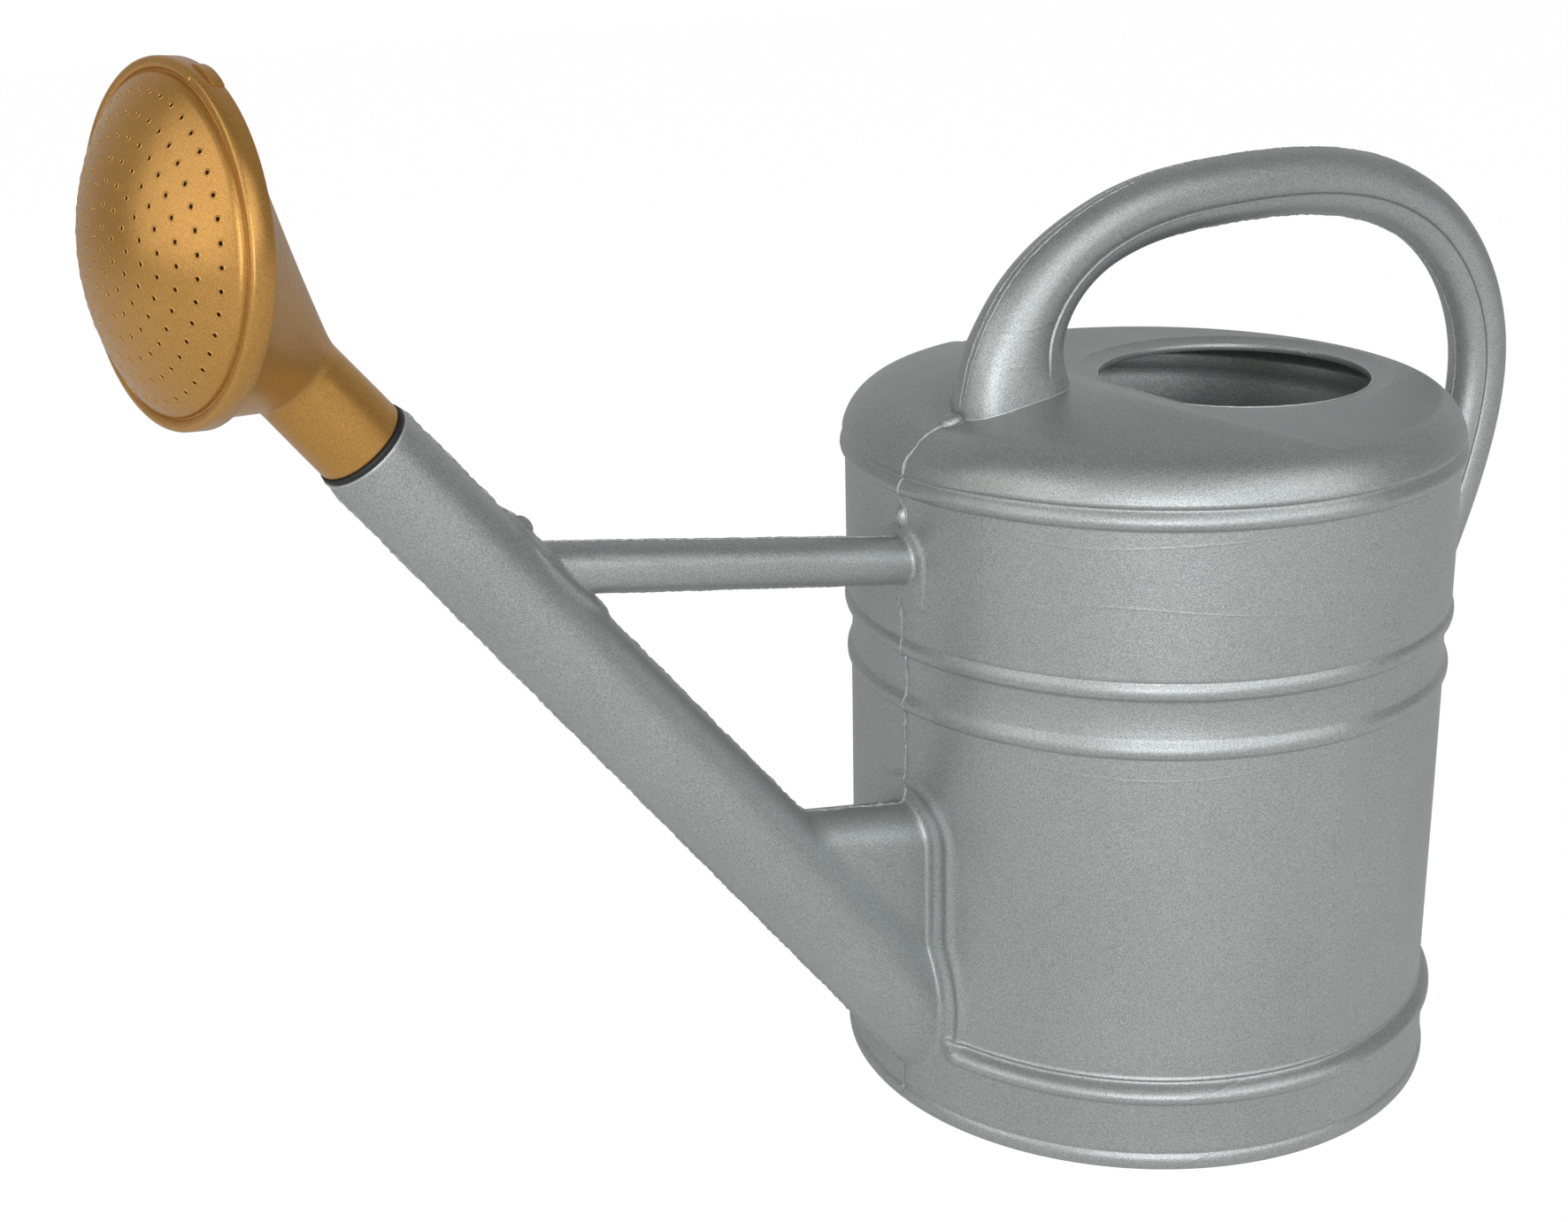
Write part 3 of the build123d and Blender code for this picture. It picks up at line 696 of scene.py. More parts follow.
    def _columns(self) -> np.ndarray:
        """Azimuths of the columns, denser in front, with one exactly on each end of the fold."""
        edge = degrees(pi - np.arccos(-self.fold / self.fold_radius))
        close = np.array(self.columns_at_fold)
        pitch = self.column_pitch
        rear_count, side_count, front_count = self.column_counts
        behind = np.linspace(-edge + pitch, edge - pitch, rear_count)
        behind = np.concatenate([[-edge], -edge + close, behind, edge - close[::-1]])
        between = np.concatenate([[edge], edge + close, np.linspace(edge + pitch, self.side_end, side_count)])
        front = np.linspace(180.0 - self.front_half, 180.0 + self.front_half, front_count)
        return np.radians(np.concatenate([behind, between, front, 360.0 - between[:0:-1]]))

    def radius_at(self, height: np.ndarray) -> np.ndarray:
        """Outside radius of the plain profile at heights above the standing face."""
        standing = self.outline[self.outline[:, 0] > self.standing_radius]
        return np.interp(height, standing[:, 1], standing[:, 0])

    def crown_height(self, radius: np.ndarray) -> np.ndarray:
        """Height of the full crown over a distance from the axis."""
        cx, cz = self.shoulder_centre
        ax, az = self.shoulder_axes
        end = atan2(az, ax * tan(radians(self.crown_slope)))
        join_r, join_z = cx + ax * cos(end), cz + az * sin(end)
        shoulder = cz + az * np.sqrt(np.clip(1.0 - (np.maximum(radius, cx) - cx) ** 2 / ax ** 2, 0.0, 1.0))
        roof = join_z + (self.crown - join_z) * (1.0 - np.minimum(radius, join_r) ** 2 / join_r ** 2)
        return np.where(radius > join_r, shoulder, roof)

    def top_limit(self, x: np.ndarray) -> np.ndarray:
        """Height of the flat panel, and of the hood's rear slope in front of the fold."""
        return self.panel + np.maximum(self.fold - x, 0.0) * tan(radians(self.fold_slope))

    def top_height(self, x: np.ndarray, y: np.ndarray) -> np.ndarray:
        """Height of the top over a plan point, without the dished filler ring.

        Args:
            x: distances behind the axis.
            y: distances beside it.

        Returns:
            Heights of the outside.
        """
        full = self.crown_height(np.hypot(x, y))
        return soft_min(full, self.top_limit(x), self.softness(x)) - self.seam_sag(x, y)

    def softness(self, x: np.ndarray) -> np.ndarray:
        """How rounded the top's edge is: crisp beside the panel, softer over the hood."""
        return self.edge_softness + self.hood_softness * smooth_step(self.fold - x, 0.0, self.soften_run)

    def seam_sag(self, x: np.ndarray, y: np.ndarray) -> np.ndarray:
        """How far the hood hangs below its round shape in front, along the mould seam."""
        radius = np.hypot(x, y)
        turn = np.degrees(np.abs(np.arctan2(y, -x)))
        lost = smooth_step(radius, *self.sag_fall) * (1.0 - self.sag_kept)
        along = smooth_step(radius, *self.sag_rise) * (1.0 - lost)
        return self.sag * bump(turn, 0.0, self.sag_spread) * along

    # ---- relief of the wall

    def root_margin(self, y: np.ndarray, z: np.ndarray) -> np.ndarray:
        """Distance outside the outline of the spout's and gusset's root on the wall.

        Args:
            y: distances beside the seam.
            z: heights.

        Returns:
            Margins in millimetres, negative inside the root.
        """
        across, up = y / self.root_half_width, (z - self.root_height) / self.root_half_height
        spout = (np.sqrt(across ** 2 + up ** 2) - 1.0) * self.root_scale
        fin = np.hypot(y, np.maximum(z - self.gusset_top, 0.0)) - self.gusset_half_width
        return soft_min(spout, fin, self.root_blend)

    def relief(self, azimuth: np.ndarray, z: np.ndarray) -> np.ndarray:
        """How far the wall stands out from its plain profile.

        Args:
            azimuth: angles round the axis, in radians.
            z: heights.

        Returns:
            Outward distances in millimetres.
        """
        y = self.radius * np.sin(azimuth)
        front = np.cos(azimuth) < 0.0
        margin = self.root_margin(y, z)
        low, high = self.border_peaks
        ridges = np.maximum(bump(margin, high, self.border_width),
                            np.where(margin < low, 1.0, bump(margin, low, self.border_width)))
        fade = smooth_step(z, *self.border_rise) * (1.0 - smooth_step(z, *self.border_fall))
        border = self.border_proud * ridges * fade
        (foot_y, foot_z), (wide, tall) = self.border_foot, self.border_foot_size
        from_foot = np.hypot((np.abs(y) - foot_y) / wide, (z - foot_z) / tall)
        start = self.border_foot_proud * bump(from_foot, 0.0, 1.0)
        low_z, high_z = self.foot_bead[0][1], self.foot_bead[-1][1]
        plain = np.interp(z, (low_z, high_z), (self.foot_band, self.radius))
        ended = np.where((z > low_z) & (z < high_z), (plain - self.radius_at(z))
                         * (1.0 - smooth_step(np.abs(y), *self.bead_end)), 0.0)
        arch = np.hypot(y, np.maximum(z - self.brace_height, 0.0)) - self.pad_half_width
        foot = self.brace_height - self.pad_drop - z
        rim, rim_at, rim_width = self.pad_rim
        pad = self.pad_proud * (1.0 - smooth_step(np.maximum(arch, foot), *self.pad_edge))
        pad += rim * bump(arch, rim_at, rim_width) * (z > self.brace_height - self.pad_rim_drop)
        uneven = sum(swell * np.sin(azimuth * turns + z / pitch) for swell, turns, pitch in self.waves)
        uneven = (uneven - self.wave_sink) * smooth_step(z, *self.wave_start)
        return np.where(front, border + start + ended + pad, 0.0) + uneven

    def wall_radius(self, azimuth: np.ndarray, z: np.ndarray) -> np.ndarray:
        """Outside radius of the finished wall at an azimuth and a height."""
        return self.radius_at(z) + self.relief(azimuth, z)

    def wall_gap(self, points: np.ndarray) -> np.ndarray:
        """How far points lie outside the wall."""
        azimuth = np.arctan2(points[:, 1], points[:, 0])
        return np.hypot(points[:, 0], points[:, 1]) - self.wall_radius(azimuth, points[:, 2])

    def on_wall(self, points: np.ndarray, sink: float) -> np.ndarray:
        """Points moved level onto the wall, sunk into it a little."""
        azimuth = np.arctan2(points[:, 1], points[:, 0])
        return on_circle(self.wall_radius(azimuth, points[:, 2]) - sink, azimuth, points[:, 2])

    # ---- plan of the top

    def edge_loop(self, margin: float) -> np.ndarray:
        """Plan of the filler's outline, set out by a margin.

        Args:
            margin: how far it is set out.

        Returns:
            One point for each column.
        """
        radius = self.filler_radius + margin
        chord = self.filler_chord - margin * self.recess_chord / self.recess_width
        corner = np.arccos((chord - self.filler_x) / radius)
        half = radius * sin(corner)
        edge = np.abs(self.columns[0])
        angle = self.columns / edge * corner
        arc = np.stack([self.filler_x + radius * np.cos(angle), radius * np.sin(angle)], axis=1)
        side = np.sin(self.columns) / sin(edge) * half
        line = np.stack([np.full_like(side, chord), side], axis=1)
        behind = (np.abs(self.columns) <= edge + TINY)[:, None]
        return np.where(behind, arc, line)

    def _shoulder_plan(self, radius: np.ndarray) -> tuple[np.ndarray, np.ndarray]:
        """Plan of a row on the shoulder, with the fold's columns held on the fold."""
        edge = abs(self.columns[0])
        angle = np.where(self.columns > pi, self.columns - 2.0 * pi, self.columns)
        shift = np.arcsin(-self.fold / radius) - np.arcsin(-self.fold / self.fold_radius)
        pull = bump(np.abs(angle), edge, radians(self.fold_hold))
        turned = angle + np.sign(angle) * shift * pull
        return radius * np.cos(turned), radius * np.sin(turned)

    def _top_rows(self, inset: float, shoulder_steps: int, roof_steps: int) -> list[np.ndarray]:
        """Rows from the shoulder's lower edge to the dished ring.

        Args:
            inset: how far they lie inside the outside's surface.
            shoulder_steps: number of rows on the shoulder.
            roof_steps: number of rows from there to the ring.

        Returns:
            The rows, from the outer edge inwards.
        """
        cx, cz = self.shoulder_centre
        ax, az = self.shoulder_axes[0] - inset, self.shoulder_axes[1] - inset
        behind = smooth_step(np.cos(self.columns), *self.roof_turn)
        reach = self.roof_reach + self.roof_reach_behind * behind - inset * 0.6
        begin, finish = radians(self.shoulder_from), np.arccos((reach - cx) / ax)
        rows = []
        for step in np.linspace(0.0, 1.0, shoulder_steps):
            angle = begin + (finish - begin) * step
            radius = cx + ax * np.cos(angle)
            x, y = self._shoulder_plan(radius)
            z = soft_min(cz + az * np.sin(angle), self.top_limit(x) - inset, self.softness(x))
            widest = (ax + cx) / radius.max()
            inward = self.seam_sag(x * widest, y * widest) * np.cos(angle) * self.sag_inward
            plan = 1.0 - inward / radius
            z -= self.seam_sag(x, y) * (0.6 + 0.4 * np.sin(angle))
            rows.append(np.stack([x * plan, y * plan, z], axis=1))
        start = rows[-1]
        goal = self.edge_loop(self.recess_width)
        lift = start[:, 2] - (self.top_height(start[:, 0], start[:, 1]) - inset)
        for step in np.append(np.linspace(0.0, 1.0, roof_steps + 1)[1:-1], (0.985, 0.996, 1.0)):
            plan = start[:, :2] + (goal - start[:, :2]) * step
            left = lift * (1.0 - smooth_step(step, 0.0, self.roof_settle))
            z = self.top_height(plan[:, 0], plan[:, 1]) - inset + left
            rows.append(np.column_stack([plan, z]))
        return rows

    def _dish_rows(self, inset: float) -> list[np.ndarray]:
        """Rows across the dished ring, from its rim to the opening's edge."""
        rows = []
        for margin, drop in ((self.recess_width - 0.25, 0.10), (self.recess_width - 0.8, 0.32),
                             (self.recess_width - 2.6, 0.95), (3.4, 1.5), (1.6, self.recess_depth),
                             (0.7, self.recess_depth), (0.15, self.recess_depth + 0.02)):
            plan = self.edge_loop(margin)
            rows.append(np.column_stack([plan, np.full(len(plan), self.panel - drop - inset)]))
        return rows

    def shell(self) -> bpy.types.Object:
        """Builds the tank's outside and inside as one closed shell.

        Returns:
            The tank piece.
        """
        rows = []
        seam = bump(np.degrees(self.columns - pi), 0.0, self.sag_spread)
        for radius, height in self.outline:
            grown = radius + self.relief(self.columns, np.full_like(self.columns, height))
            z = height - self.seam_drop * seam * smooth_step(height, *self.seam_drop_rise)
            rows.append(on_circle(grown, self.columns, z))
        rows += self._top_rows(0.0, 26, 26)
        outside = np.array(rows)
        self.front_seam = outside[:, int(np.argmin(np.abs(self.columns - pi)))]
        self.rear_seam = outside[:, int(np.argmin(np.abs(self.columns)))]
        rows += self._dish_rows(0.0)
        edge = self.edge_loop(0.0)
        low = self.panel - self.recess_depth
        for drop in (0.25, 1.2, self.wall - 0.2):
            rows.append(np.column_stack([edge, np.full(len(edge), low - drop)]))
        inner = self._top_rows(self.wall, 10, 12) + self._dish_rows(self.wall)
        rows += inner[::-1]
        rows += [on_circle(radius, self.columns, height) for radius, height in self._inner_outline()]
        grid = np.array(rows)
        middle = [[0.0, 0.0, self.base_level], [0.0, 0.0, self.base_level + self.wall]]
        points = np.vstack([grid.reshape(-1, 3), middle])
        return mesh_object("tank_skin", points, capped_faces(*grid.shape[:2]))

    def _inner_outline(self) -> list[tuple[float, float]]:
        """The inside's profile, from under the shoulder down to the floor."""
        w = self.wall
        upper, lower, foot = self.upper_radius - w, self.radius - w, self.foot_radius - w
        return [(upper, 255.0), (upper + 1.6, 251.0), (upper, 247.0), (upper, 220.0), (upper, 196.0),
                (lower + 2.0, 190.0), (lower, 186.0), (lower - 0.7, 180.5), (lower, 174.6),
                (lower + 1.4, 168.6), (lower, 162.0), (lower, 120.0), (lower, 80.0), (lower, 40.0),
                (foot + 1.0, 32.0), (foot, 26.0), (foot, 9.0), (foot - 0.8, 5.6), (foot - 3.0, 3.2),
                (110.0, w), (104.0, w + 0.6), (100.0, w + 2.0), (60.0, w + 2.2), (14.0, w + 2.2)]


# ---------------------------------------------------------------- tubes that grow out of the tank

@dataclass
class SpoutSkin:
    """The spout, the gusset behind it and the oval pad for the brace, as one closed tube."""

    tank: TankSkin
    angle: float = 51.1
    length: float = 323.4
    root_radius: float = 20.4
    mouth_radius: float = 16.25
    wall: float = 2.2
    socket_radius: float = 14.6
    socket_depth: float = 20.0
    gusset_half_width: float = 13.8
    gusset_top: float = 127.5
    gusset_slope: float = 10.0
    gusset_reach: float = 95.0
    gusset_hidden: float = 8.0
    crease_softness: float = 3.0
    pad_station: float = 245.0
    pad_half_length: float = 28.0
    pad_half_width: float = 12.5
    pad_proud: float = 1.5
    pad_edge: tuple[float, float] = (0.86, 1.06)
    pad_reach: float = 37.0
    fillet: float = 2.6
    fillet_rows: int = 6
    level_from: float = 110.0
    foremost: float = -125.0
    fine_angle: float = 42.0
    column_counts: tuple[int, int] = (57, 63)
    bore_scale: float = 0.6
    bore_end: float = 24.0
    bore_shares: tuple[float, ...] = (0.0, 0.25, 0.5, 0.75, 0.92)
    bore_wide_to: float = 0.4
    bore_narrowing: float = 0.28

    def __post_init__(self) -> None:
        """Works out the spout's own axes."""
        a = radians(self.angle)
        self.origin = np.array([-self.tank.radius, 0.0, self.tank.root_height])
        self.along = np.array([-cos(a), 0.0, sin(a)])
        self.up = np.array([sin(a), 0.0, cos(a)])
        self.side = SIDEWAYS
        fine, plain = self.column_counts
        close = np.linspace(-self.fine_angle, self.fine_angle, fine)
        wide = np.linspace(self.fine_angle, 360.0 - self.fine_angle, plain)[1:-1]
        self.angles = np.radians(np.concatenate([close, wide]))

    def plain_radius(self, station: np.ndarray) -> np.ndarray:
        """Outside radius of the bare spout at a station along its axis."""
        return self.root_radius + (self.mouth_radius - self.root_radius) * station / self.length

    def reach(self, angle: np.ndarray, station: np.ndarray) -> np.ndarray:
        """Distance from the axis to the surface of spout, gusset and pad together.

        Args:
            angle: angles round the axis, 0 towards the tank.
            station: distances along the axis.

        Returns:
            Distances from the axis.
        """
        plain = self.plain_radius(station)
        lean = radians(self.angle - self.gusset_slope)
        half = self.gusset_half_width
        tall = half / cos(lean)
        rise = self.gusset_top - half / cos(radians(self.gusset_slope)) - self.tank.root_height
        first, level = rise * sin(radians(self.angle)), rise * cos(radians(self.angle))
        centre = level - tan(lean) * (station - first)
        c, s = np.cos(angle), np.sin(angle)
        a = (c / tall) ** 2 + (s / half) ** 2
        b = -2.0 * c * centre / tall ** 2
        d = (centre / tall) ** 2 - 1.0
        root = np.sqrt(np.clip(b * b - 4.0 * a * d, 0.0, None))
        crown = np.where(b * b >= 4.0 * a * d, (-b + root) / (2.0 * a), 0.0)
        flank = half / np.maximum(np.abs(s), TINY)
        fin = np.where(flank * c < centre, flank, crown)
        fin = np.where(c > 0.0, np.clip(fin, 0.0, self.gusset_reach), 0.0)
        merged = -soft_min(-plain, -fin, self.crease_softness)
        oval = np.hypot((station - self.pad_station) / self.pad_half_length, plain * s / self.pad_half_width)
        pad = self.pad_proud * (1.0 - smooth_step(oval, *self.pad_edge)) * (c > 0.0)
        return np.where(fin < plain - self.gusset_hidden, plain, merged) + pad

    def surface(self, angle: np.ndarray, station: np.ndarray, sink: float = 0.0) -> np.ndarray:
        """Points of the outside at angles and stations, or sunk below it."""
        r = self.reach(angle, station) - sink
        s, c = np.sin(angle), np.cos(angle)
        return (self.origin + station[..., None] * self.along + (r * c)[..., None] * self.up
                + (r * s)[..., None] * self.side)

    def wall_station(self, reach_scale: float, low: float = -75.0, high: float = 110.0) -> np.ndarray:
        """Station of each column where it meets the tank's wall, found by halving.

        Args:
            reach_scale: 1 for the outside, less for a smaller tube within it.
            low: a station inside the tank.
            high: a station outside it.

        Returns:
            One station for each column.
        """

        def within(station: np.ndarray) -> np.ndarray:
            """Whether each column is still inside the tank."""
            axis = self.origin + station[:, None] * self.along
            points = axis + (self.surface(self.angles, station) - axis) * reach_scale
            return (self.tank.wall_gap(points) < 0.0) & (points[:, 0] > self.foremost)

        return halve(within, np.full_like(self.angles, low), np.full_like(self.angles, high))

    def _off_outline(self, corner: np.ndarray) -> np.ndarray:
        """Directions along the wall, square to the outline on which the spout meets it."""
        course = np.roll(corner, -2, axis=0) - np.roll(corner, 2, axis=0)
        across = unit(np.cross(corner * np.array([1.0, 1.0, 0.0]), course))
        away = corner - corner.mean(axis=0)
        return across * np.sign((across * away).sum(axis=1, keepdims=True))

    def stations(self) -> np.ndarray:
        """Stations of the rows from the wall to the mouth, denser at the gusset and the pad."""
        first, last = self.pad_station - self.pad_reach, self.pad_station + self.pad_reach
        near = np.linspace(0.0, self.level_from, 50)
        middle = np.linspace(self.level_from, first, 14)[1:]
        pad = np.linspace(first, last, 50)[1:]
        far = np.linspace(last, self.length - 1.2, 8)[1:]
        return np.concatenate([near, middle, pad, far])

    def build(self) -> bpy.types.Object:
        """Builds the spout with its rim, bore and the fillet at its root.

        Returns:
            The spout piece.
        """
        root = self.wall_station(1.0)
        corner = self.tank.on_wall(self.surface(self.angles, root), 0.0)
        leave = root + self.fillet
        start = self.surface(self.angles, leave)
        along_wall = self._off_outline(corner)
        landing = self.tank.on_wall(corner + along_wall * self.fillet * 0.9, 0.04)
        under = self.tank.on_wall(corner + along_wall * (self.fillet + 1.4), 1.1)
        outer = [under] + bend_rows(start, corner, landing, self.fillet_rows)[::-1]
        for place in self.stations():
            station = leave + (self.level_from - leave) * min(place / self.level_from, 1.0)
            outer.append(self.surface(self.angles, station + max(place - self.level_from, 0.0)))
        seams = np.array(outer)[1:]
        self.top_seam = seams[:, int(np.argmin(np.abs(self.angles)))]
        self.bottom_seam = seams[:, int(np.argmin(np.abs(self.angles - pi)))]
        ring = np.cos(self.angles)[:, None] * self.up + np.sin(self.angles)[:, None] * self.side
        bore, deep = self.socket_radius, self.length - self.socket_depth
        mouth = [self.origin + station * self.along + ring * radius for station, radius in (
            (self.length - 0.5, self.mouth_radius - 0.03), (self.length - 0.1, 16.0), (self.length, 15.6),
            (self.length, bore + 0.3), (self.length - 0.3, bore), (self.length - 8.0, bore), (deep, bore),
            (deep - 3.0, bore - 0.2))]
        inner = []
        root = self.wall_station(self.bore_scale, -60.0, 60.0)
        for share in self.bore_shares:
            station = (self.length - self.bore_end) * (1.0 - share) + (root + 2.0) * share
            depth = max(share - self.bore_wide_to, 0.0) / (self.bore_shares[-1] - self.bore_wide_to)
            radius = (self.plain_radius(station) - self.wall) * (1.0 - self.bore_narrowing * depth)
            inner.append(self.origin + station[:, None] * self.along + ring * radius[:, None])
        last = self.tank.on_wall(inner[-1], 1.3)
        return tube_shell("spout_skin", outer + mouth, inner + [last])


@dataclass
class BraceSkin:
    """The round brace between the upper wall and the spout, with soft fillets at both ends."""

    tank: TankSkin
    spout: SpoutSkin
    radius: float = 8.85
    angle: float = 10.0
    wall: float = 3.0
    fillet: float = 2.0
    fillet_rows: int = 5
    rows: int = 22
    columns: int = 56
    near_span: tuple[float, float] = (-6.0, 20.0)
    far_span: tuple[float, float] = (100.0, 190.0)

    def __post_init__(self) -> None:
        """Works out the brace's own axes."""
        a = radians(self.angle)
        self.origin = np.array([-self.tank.upper_radius, 0.0, self.tank.brace_height])
        self.along = np.array([-cos(a), 0.0, sin(a)])
        self.up = np.array([sin(a), 0.0, cos(a)])
        angle = np.linspace(0.0, 2.0 * pi, self.columns, endpoint=False)
        self.ring = np.cos(angle)[:, None] * self.up + np.sin(angle)[:, None] * SIDEWAYS

    def circle(self, distance: np.ndarray, radius: float) -> np.ndarray:
        """Points round the brace's axis, each at its own distance along it."""
        return self.origin + np.asarray(distance)[:, None] * self.along + self.ring * radius

    def build(self) -> bpy.types.Object:
        """Builds the brace as a closed tube.

        Returns:
            The brace piece.
        """
        near = self._meet(lambda d: self.tank.wall_gap(self.circle(d, self.radius)) < 0.0, self.near_span)
        far = self._meet(lambda d: self._spout_gap(self.circle(d, self.radius)) > 0.0, self.far_span)
        corner = self.tank.on_wall(self.circle(near, self.radius), 0.0)
        landing = self.tank.on_wall(corner + self.ring * self.fillet, 0.03)
        under = self.tank.on_wall(corner + self.ring * (self.fillet + 1.0), 0.9)
        start = self.circle(near + self.fillet, self.radius)
        rows = [under] + bend_rows(start, corner, landing, self.fillet_rows)[::-1]
        for share in np.linspace(0.0, 1.0, self.rows):
            distance = (near + self.fillet) * (1.0 - share) + (far - self.fillet) * share
            rows.append(self.circle(distance, self.radius))
        tip = self.circle(far, self.radius)
        away = self._away(tip, self.circle(far, 0.0))
        rows += bend_rows(rows[-1], tip, self._on_spout(tip + away * self.fillet, 0.03), self.fillet_rows)
        rows.append(self._on_spout(tip + away * (self.fillet + 1.0), 0.9))
        bore = self.radius - self.wall
        return tube_shell("brace_skin", rows, [self.circle(far + 1.0, bore), self.circle(near - 1.0, bore)])

    def _meet(self, within: Callable[[np.ndarray], np.ndarray], span: tuple[float, float]) -> np.ndarray:
        """Distance at which each column passes through a surface, somewhere in a span."""
        return halve(within, *(np.full(self.columns, end) for end in span))

    def _polar(self, points: np.ndarray) -> tuple[np.ndarray, np.ndarray, np.ndarray]:
        """Angle, station and distance of points from the spout's axis."""
        p = points - self.spout.origin
        station = p @ self.spout.along
        across, beside = p @ self.spout.up, p @ self.spout.side
        return np.arctan2(beside, across), station, np.hypot(across, beside)

    def _spout_gap(self, points: np.ndarray) -> np.ndarray:
        """Distance of points outside the spout."""
        angle, station, distance = self._polar(points)
        return distance - self.spout.reach(angle, station)

    def _on_spout(self, points: np.ndarray, sink: float) -> np.ndarray:
        """Points moved onto the spout's surface, sunk into it a little."""
        angle, station, _ = self._polar(points)
        return self.spout.surface(angle, station, sink)

    def _away(self, points: np.ndarray, axis: np.ndarray) -> np.ndarray:
        """Directions along the spout's surface, away from the brace."""
        p = points - self.spout.origin
        normal = unit(p - (p @ self.spout.along)[:, None] * self.spout.along)
        out = points - axis
        return unit(out - (out * normal).sum(axis=1, keepdims=True) * normal)


@dataclass
class HandleSkin:
    """The hollow handle: a fat outer lobe and a slim inner lobe, parted by a groove, on a flared foot."""

    tank: TankSkin
    half_depth: float = 12.75
    lobe_ratio: float = 0.846
    groove_ratio: float = 0.308
    groove_cut: float = 0.85
    foot_half_length: float = 24.0
    foot_half_width: float = 15.4
    foot_level: float = 276.0
    foot_flare_length: float = 74.0
    foot_flare_power: float = 1.8
    foot_plain: tuple[float, float] = (7.0, 27.0)
    foot_squareness: float = 2.5
    front_length: float = 150.0
    crease_width: float = 0.024
    burr_proud: float = 0.36
    burr_place: float = 0.05
    burr_width: float = 0.022
    root_flare: float = 5.0
    root_flare_share: float = 0.1
    top: float = 341.2
    back: float = 182.7
    front: float = -65.0
    root_height: float = 116.0
    rows: int = 200
    foot_rows: int = 20
    foot_search: int = 30

    def __post_init__(self) -> None:
        """Works out the centreline, the column angles and the distances from the foot."""
        self.line = self.path()
        self.along = lengths_along(self.line)
        foot = slice(self.foot_rows)
        self.along -= float(np.interp(self.foot_level, self.line[foot, 1], self.along[foot]))
        lobe = self.lobe_ratio
        width = sqrt(lobe ** 2 - (1.0 - lobe + self.groove_ratio) ** 2)
        self.crease = atan2(width, -self.groove_ratio)
        fine = np.array([-0.075, -0.045, -0.026, -0.012, 0.0, 0.012, 0.026, 0.045, 0.075])
        plain = np.linspace(0.0, 2.0 * pi, 68, endpoint=False)
        mirrored = 2.0 * pi - self.crease
        keep = (np.abs(plain - self.crease) > 0.1) & (np.abs(plain - mirrored) > 0.1)
        self.angles = np.sort(np.concatenate([plain[keep], self.crease + fine, mirrored + fine]))

    def path(self) -> np.ndarray:
        """The centreline's (x, z) points, from the front root over the top to the rear root."""
        span, fall = self.back - self.front, self.top - self.root_height
        bends = ((0.048, 0.12), (0.19, 0.029), (0.391, 0.0), (0.617, 0.009), (0.815, 0.0755),
                 (0.944, 0.204), (1.0, 0.364), (0.984, 0.537), (0.919, 0.724))
        root = ((22, 18), (-10, -12), (-30, -31))
        points = [(-64.6, 261.0), (-66.2, 269.5), (-67.0, 278.0), (-66.5, 287.0), (-64.2, 296.0),
                  (-60.0, 305.0)]
        points += [(self.front + share * span, self.top - drop * fall) for share, drop in bends]
        points += [(self.tank.radius + out, self.root_height + up) for out, up in root]
        return smooth_curve(np.array(points, dtype=float), self.rows)

    def flare(self, distance: float) -> float:
        """How far the foot has spread, from 1 at the hood to 0 up the handle."""
        return min(max(1.0 - distance / self.foot_flare_length, 0.0), 1.0) ** self.foot_flare_power

    def half_at(self, number: int) -> float:
        """Half the section's depth at a row."""
        half = self.half_depth + (self.foot_half_length - self.half_depth) * self.flare(self.along[number])
        share = number / (self.rows - 1)
        return half + self.root_flare * max(0.0, 1.0 - (1.0 - share) / self.root_flare_share)

    def section(self, number: int) -> tuple[np.ndarray, np.ndarray]:
        """Outline of a row: depths outwards and widths sideways.

        Args:
            number: the row.

        Returns:
            Depths and widths of each column.
        """
        half, distance = self.half_at(number), self.along[number]
        lobe = half * self.lobe_ratio
        groove = -self.groove_ratio * half
        width = sqrt(lobe ** 2 - (half - lobe - groove) ** 2)
        inner_radius = (width ** 2 + (half + groove) ** 2) / (2.0 * (half + groove))
        c, s = np.cos(self.angles), np.sin(self.angles)
        outer_centre, inner_centre = half - lobe, -half + inner_radius
        outer = outer_centre * c + np.sqrt(lobe ** 2 - (outer_centre * s) ** 2)
        inner = inner_centre * c + np.sqrt(np.clip(inner_radius ** 2 - (inner_centre * s) ** 2, 0.0, None))
        lobes = np.where(outer * c > groove, outer, inner)
        for side, towards in ((self.crease, 1.0), (2.0 * pi - self.crease, -1.0)):
            lobes = lobes - self.groove_cut * np.exp(-np.abs(self.angles - side) / self.crease_width)
            burr_at = side + towards * self.burr_place
            lobes = lobes + self.burr_proud * bump(self.angles, burr_at, self.burr_width)
        slim = lobe + (self.foot_half_width - self.half_depth * self.lobe_ratio) * self.flare(distance)
        if distance < self.front_length:
            slim -= (half - self.half_depth) * self.lobe_ratio
        power = self.foot_squareness
        oval = (np.abs(c / half) ** power + np.abs(s / slim) ** power) ** (-1.0 / power)
        share = float(smooth_step(distance, *self.foot_plain))
        deep = lobes * c * share + oval * c * (1.0 - share)
        wide = lobes * s * slim / lobe * share + oval * s * (1.0 - share)
        return deep, wide

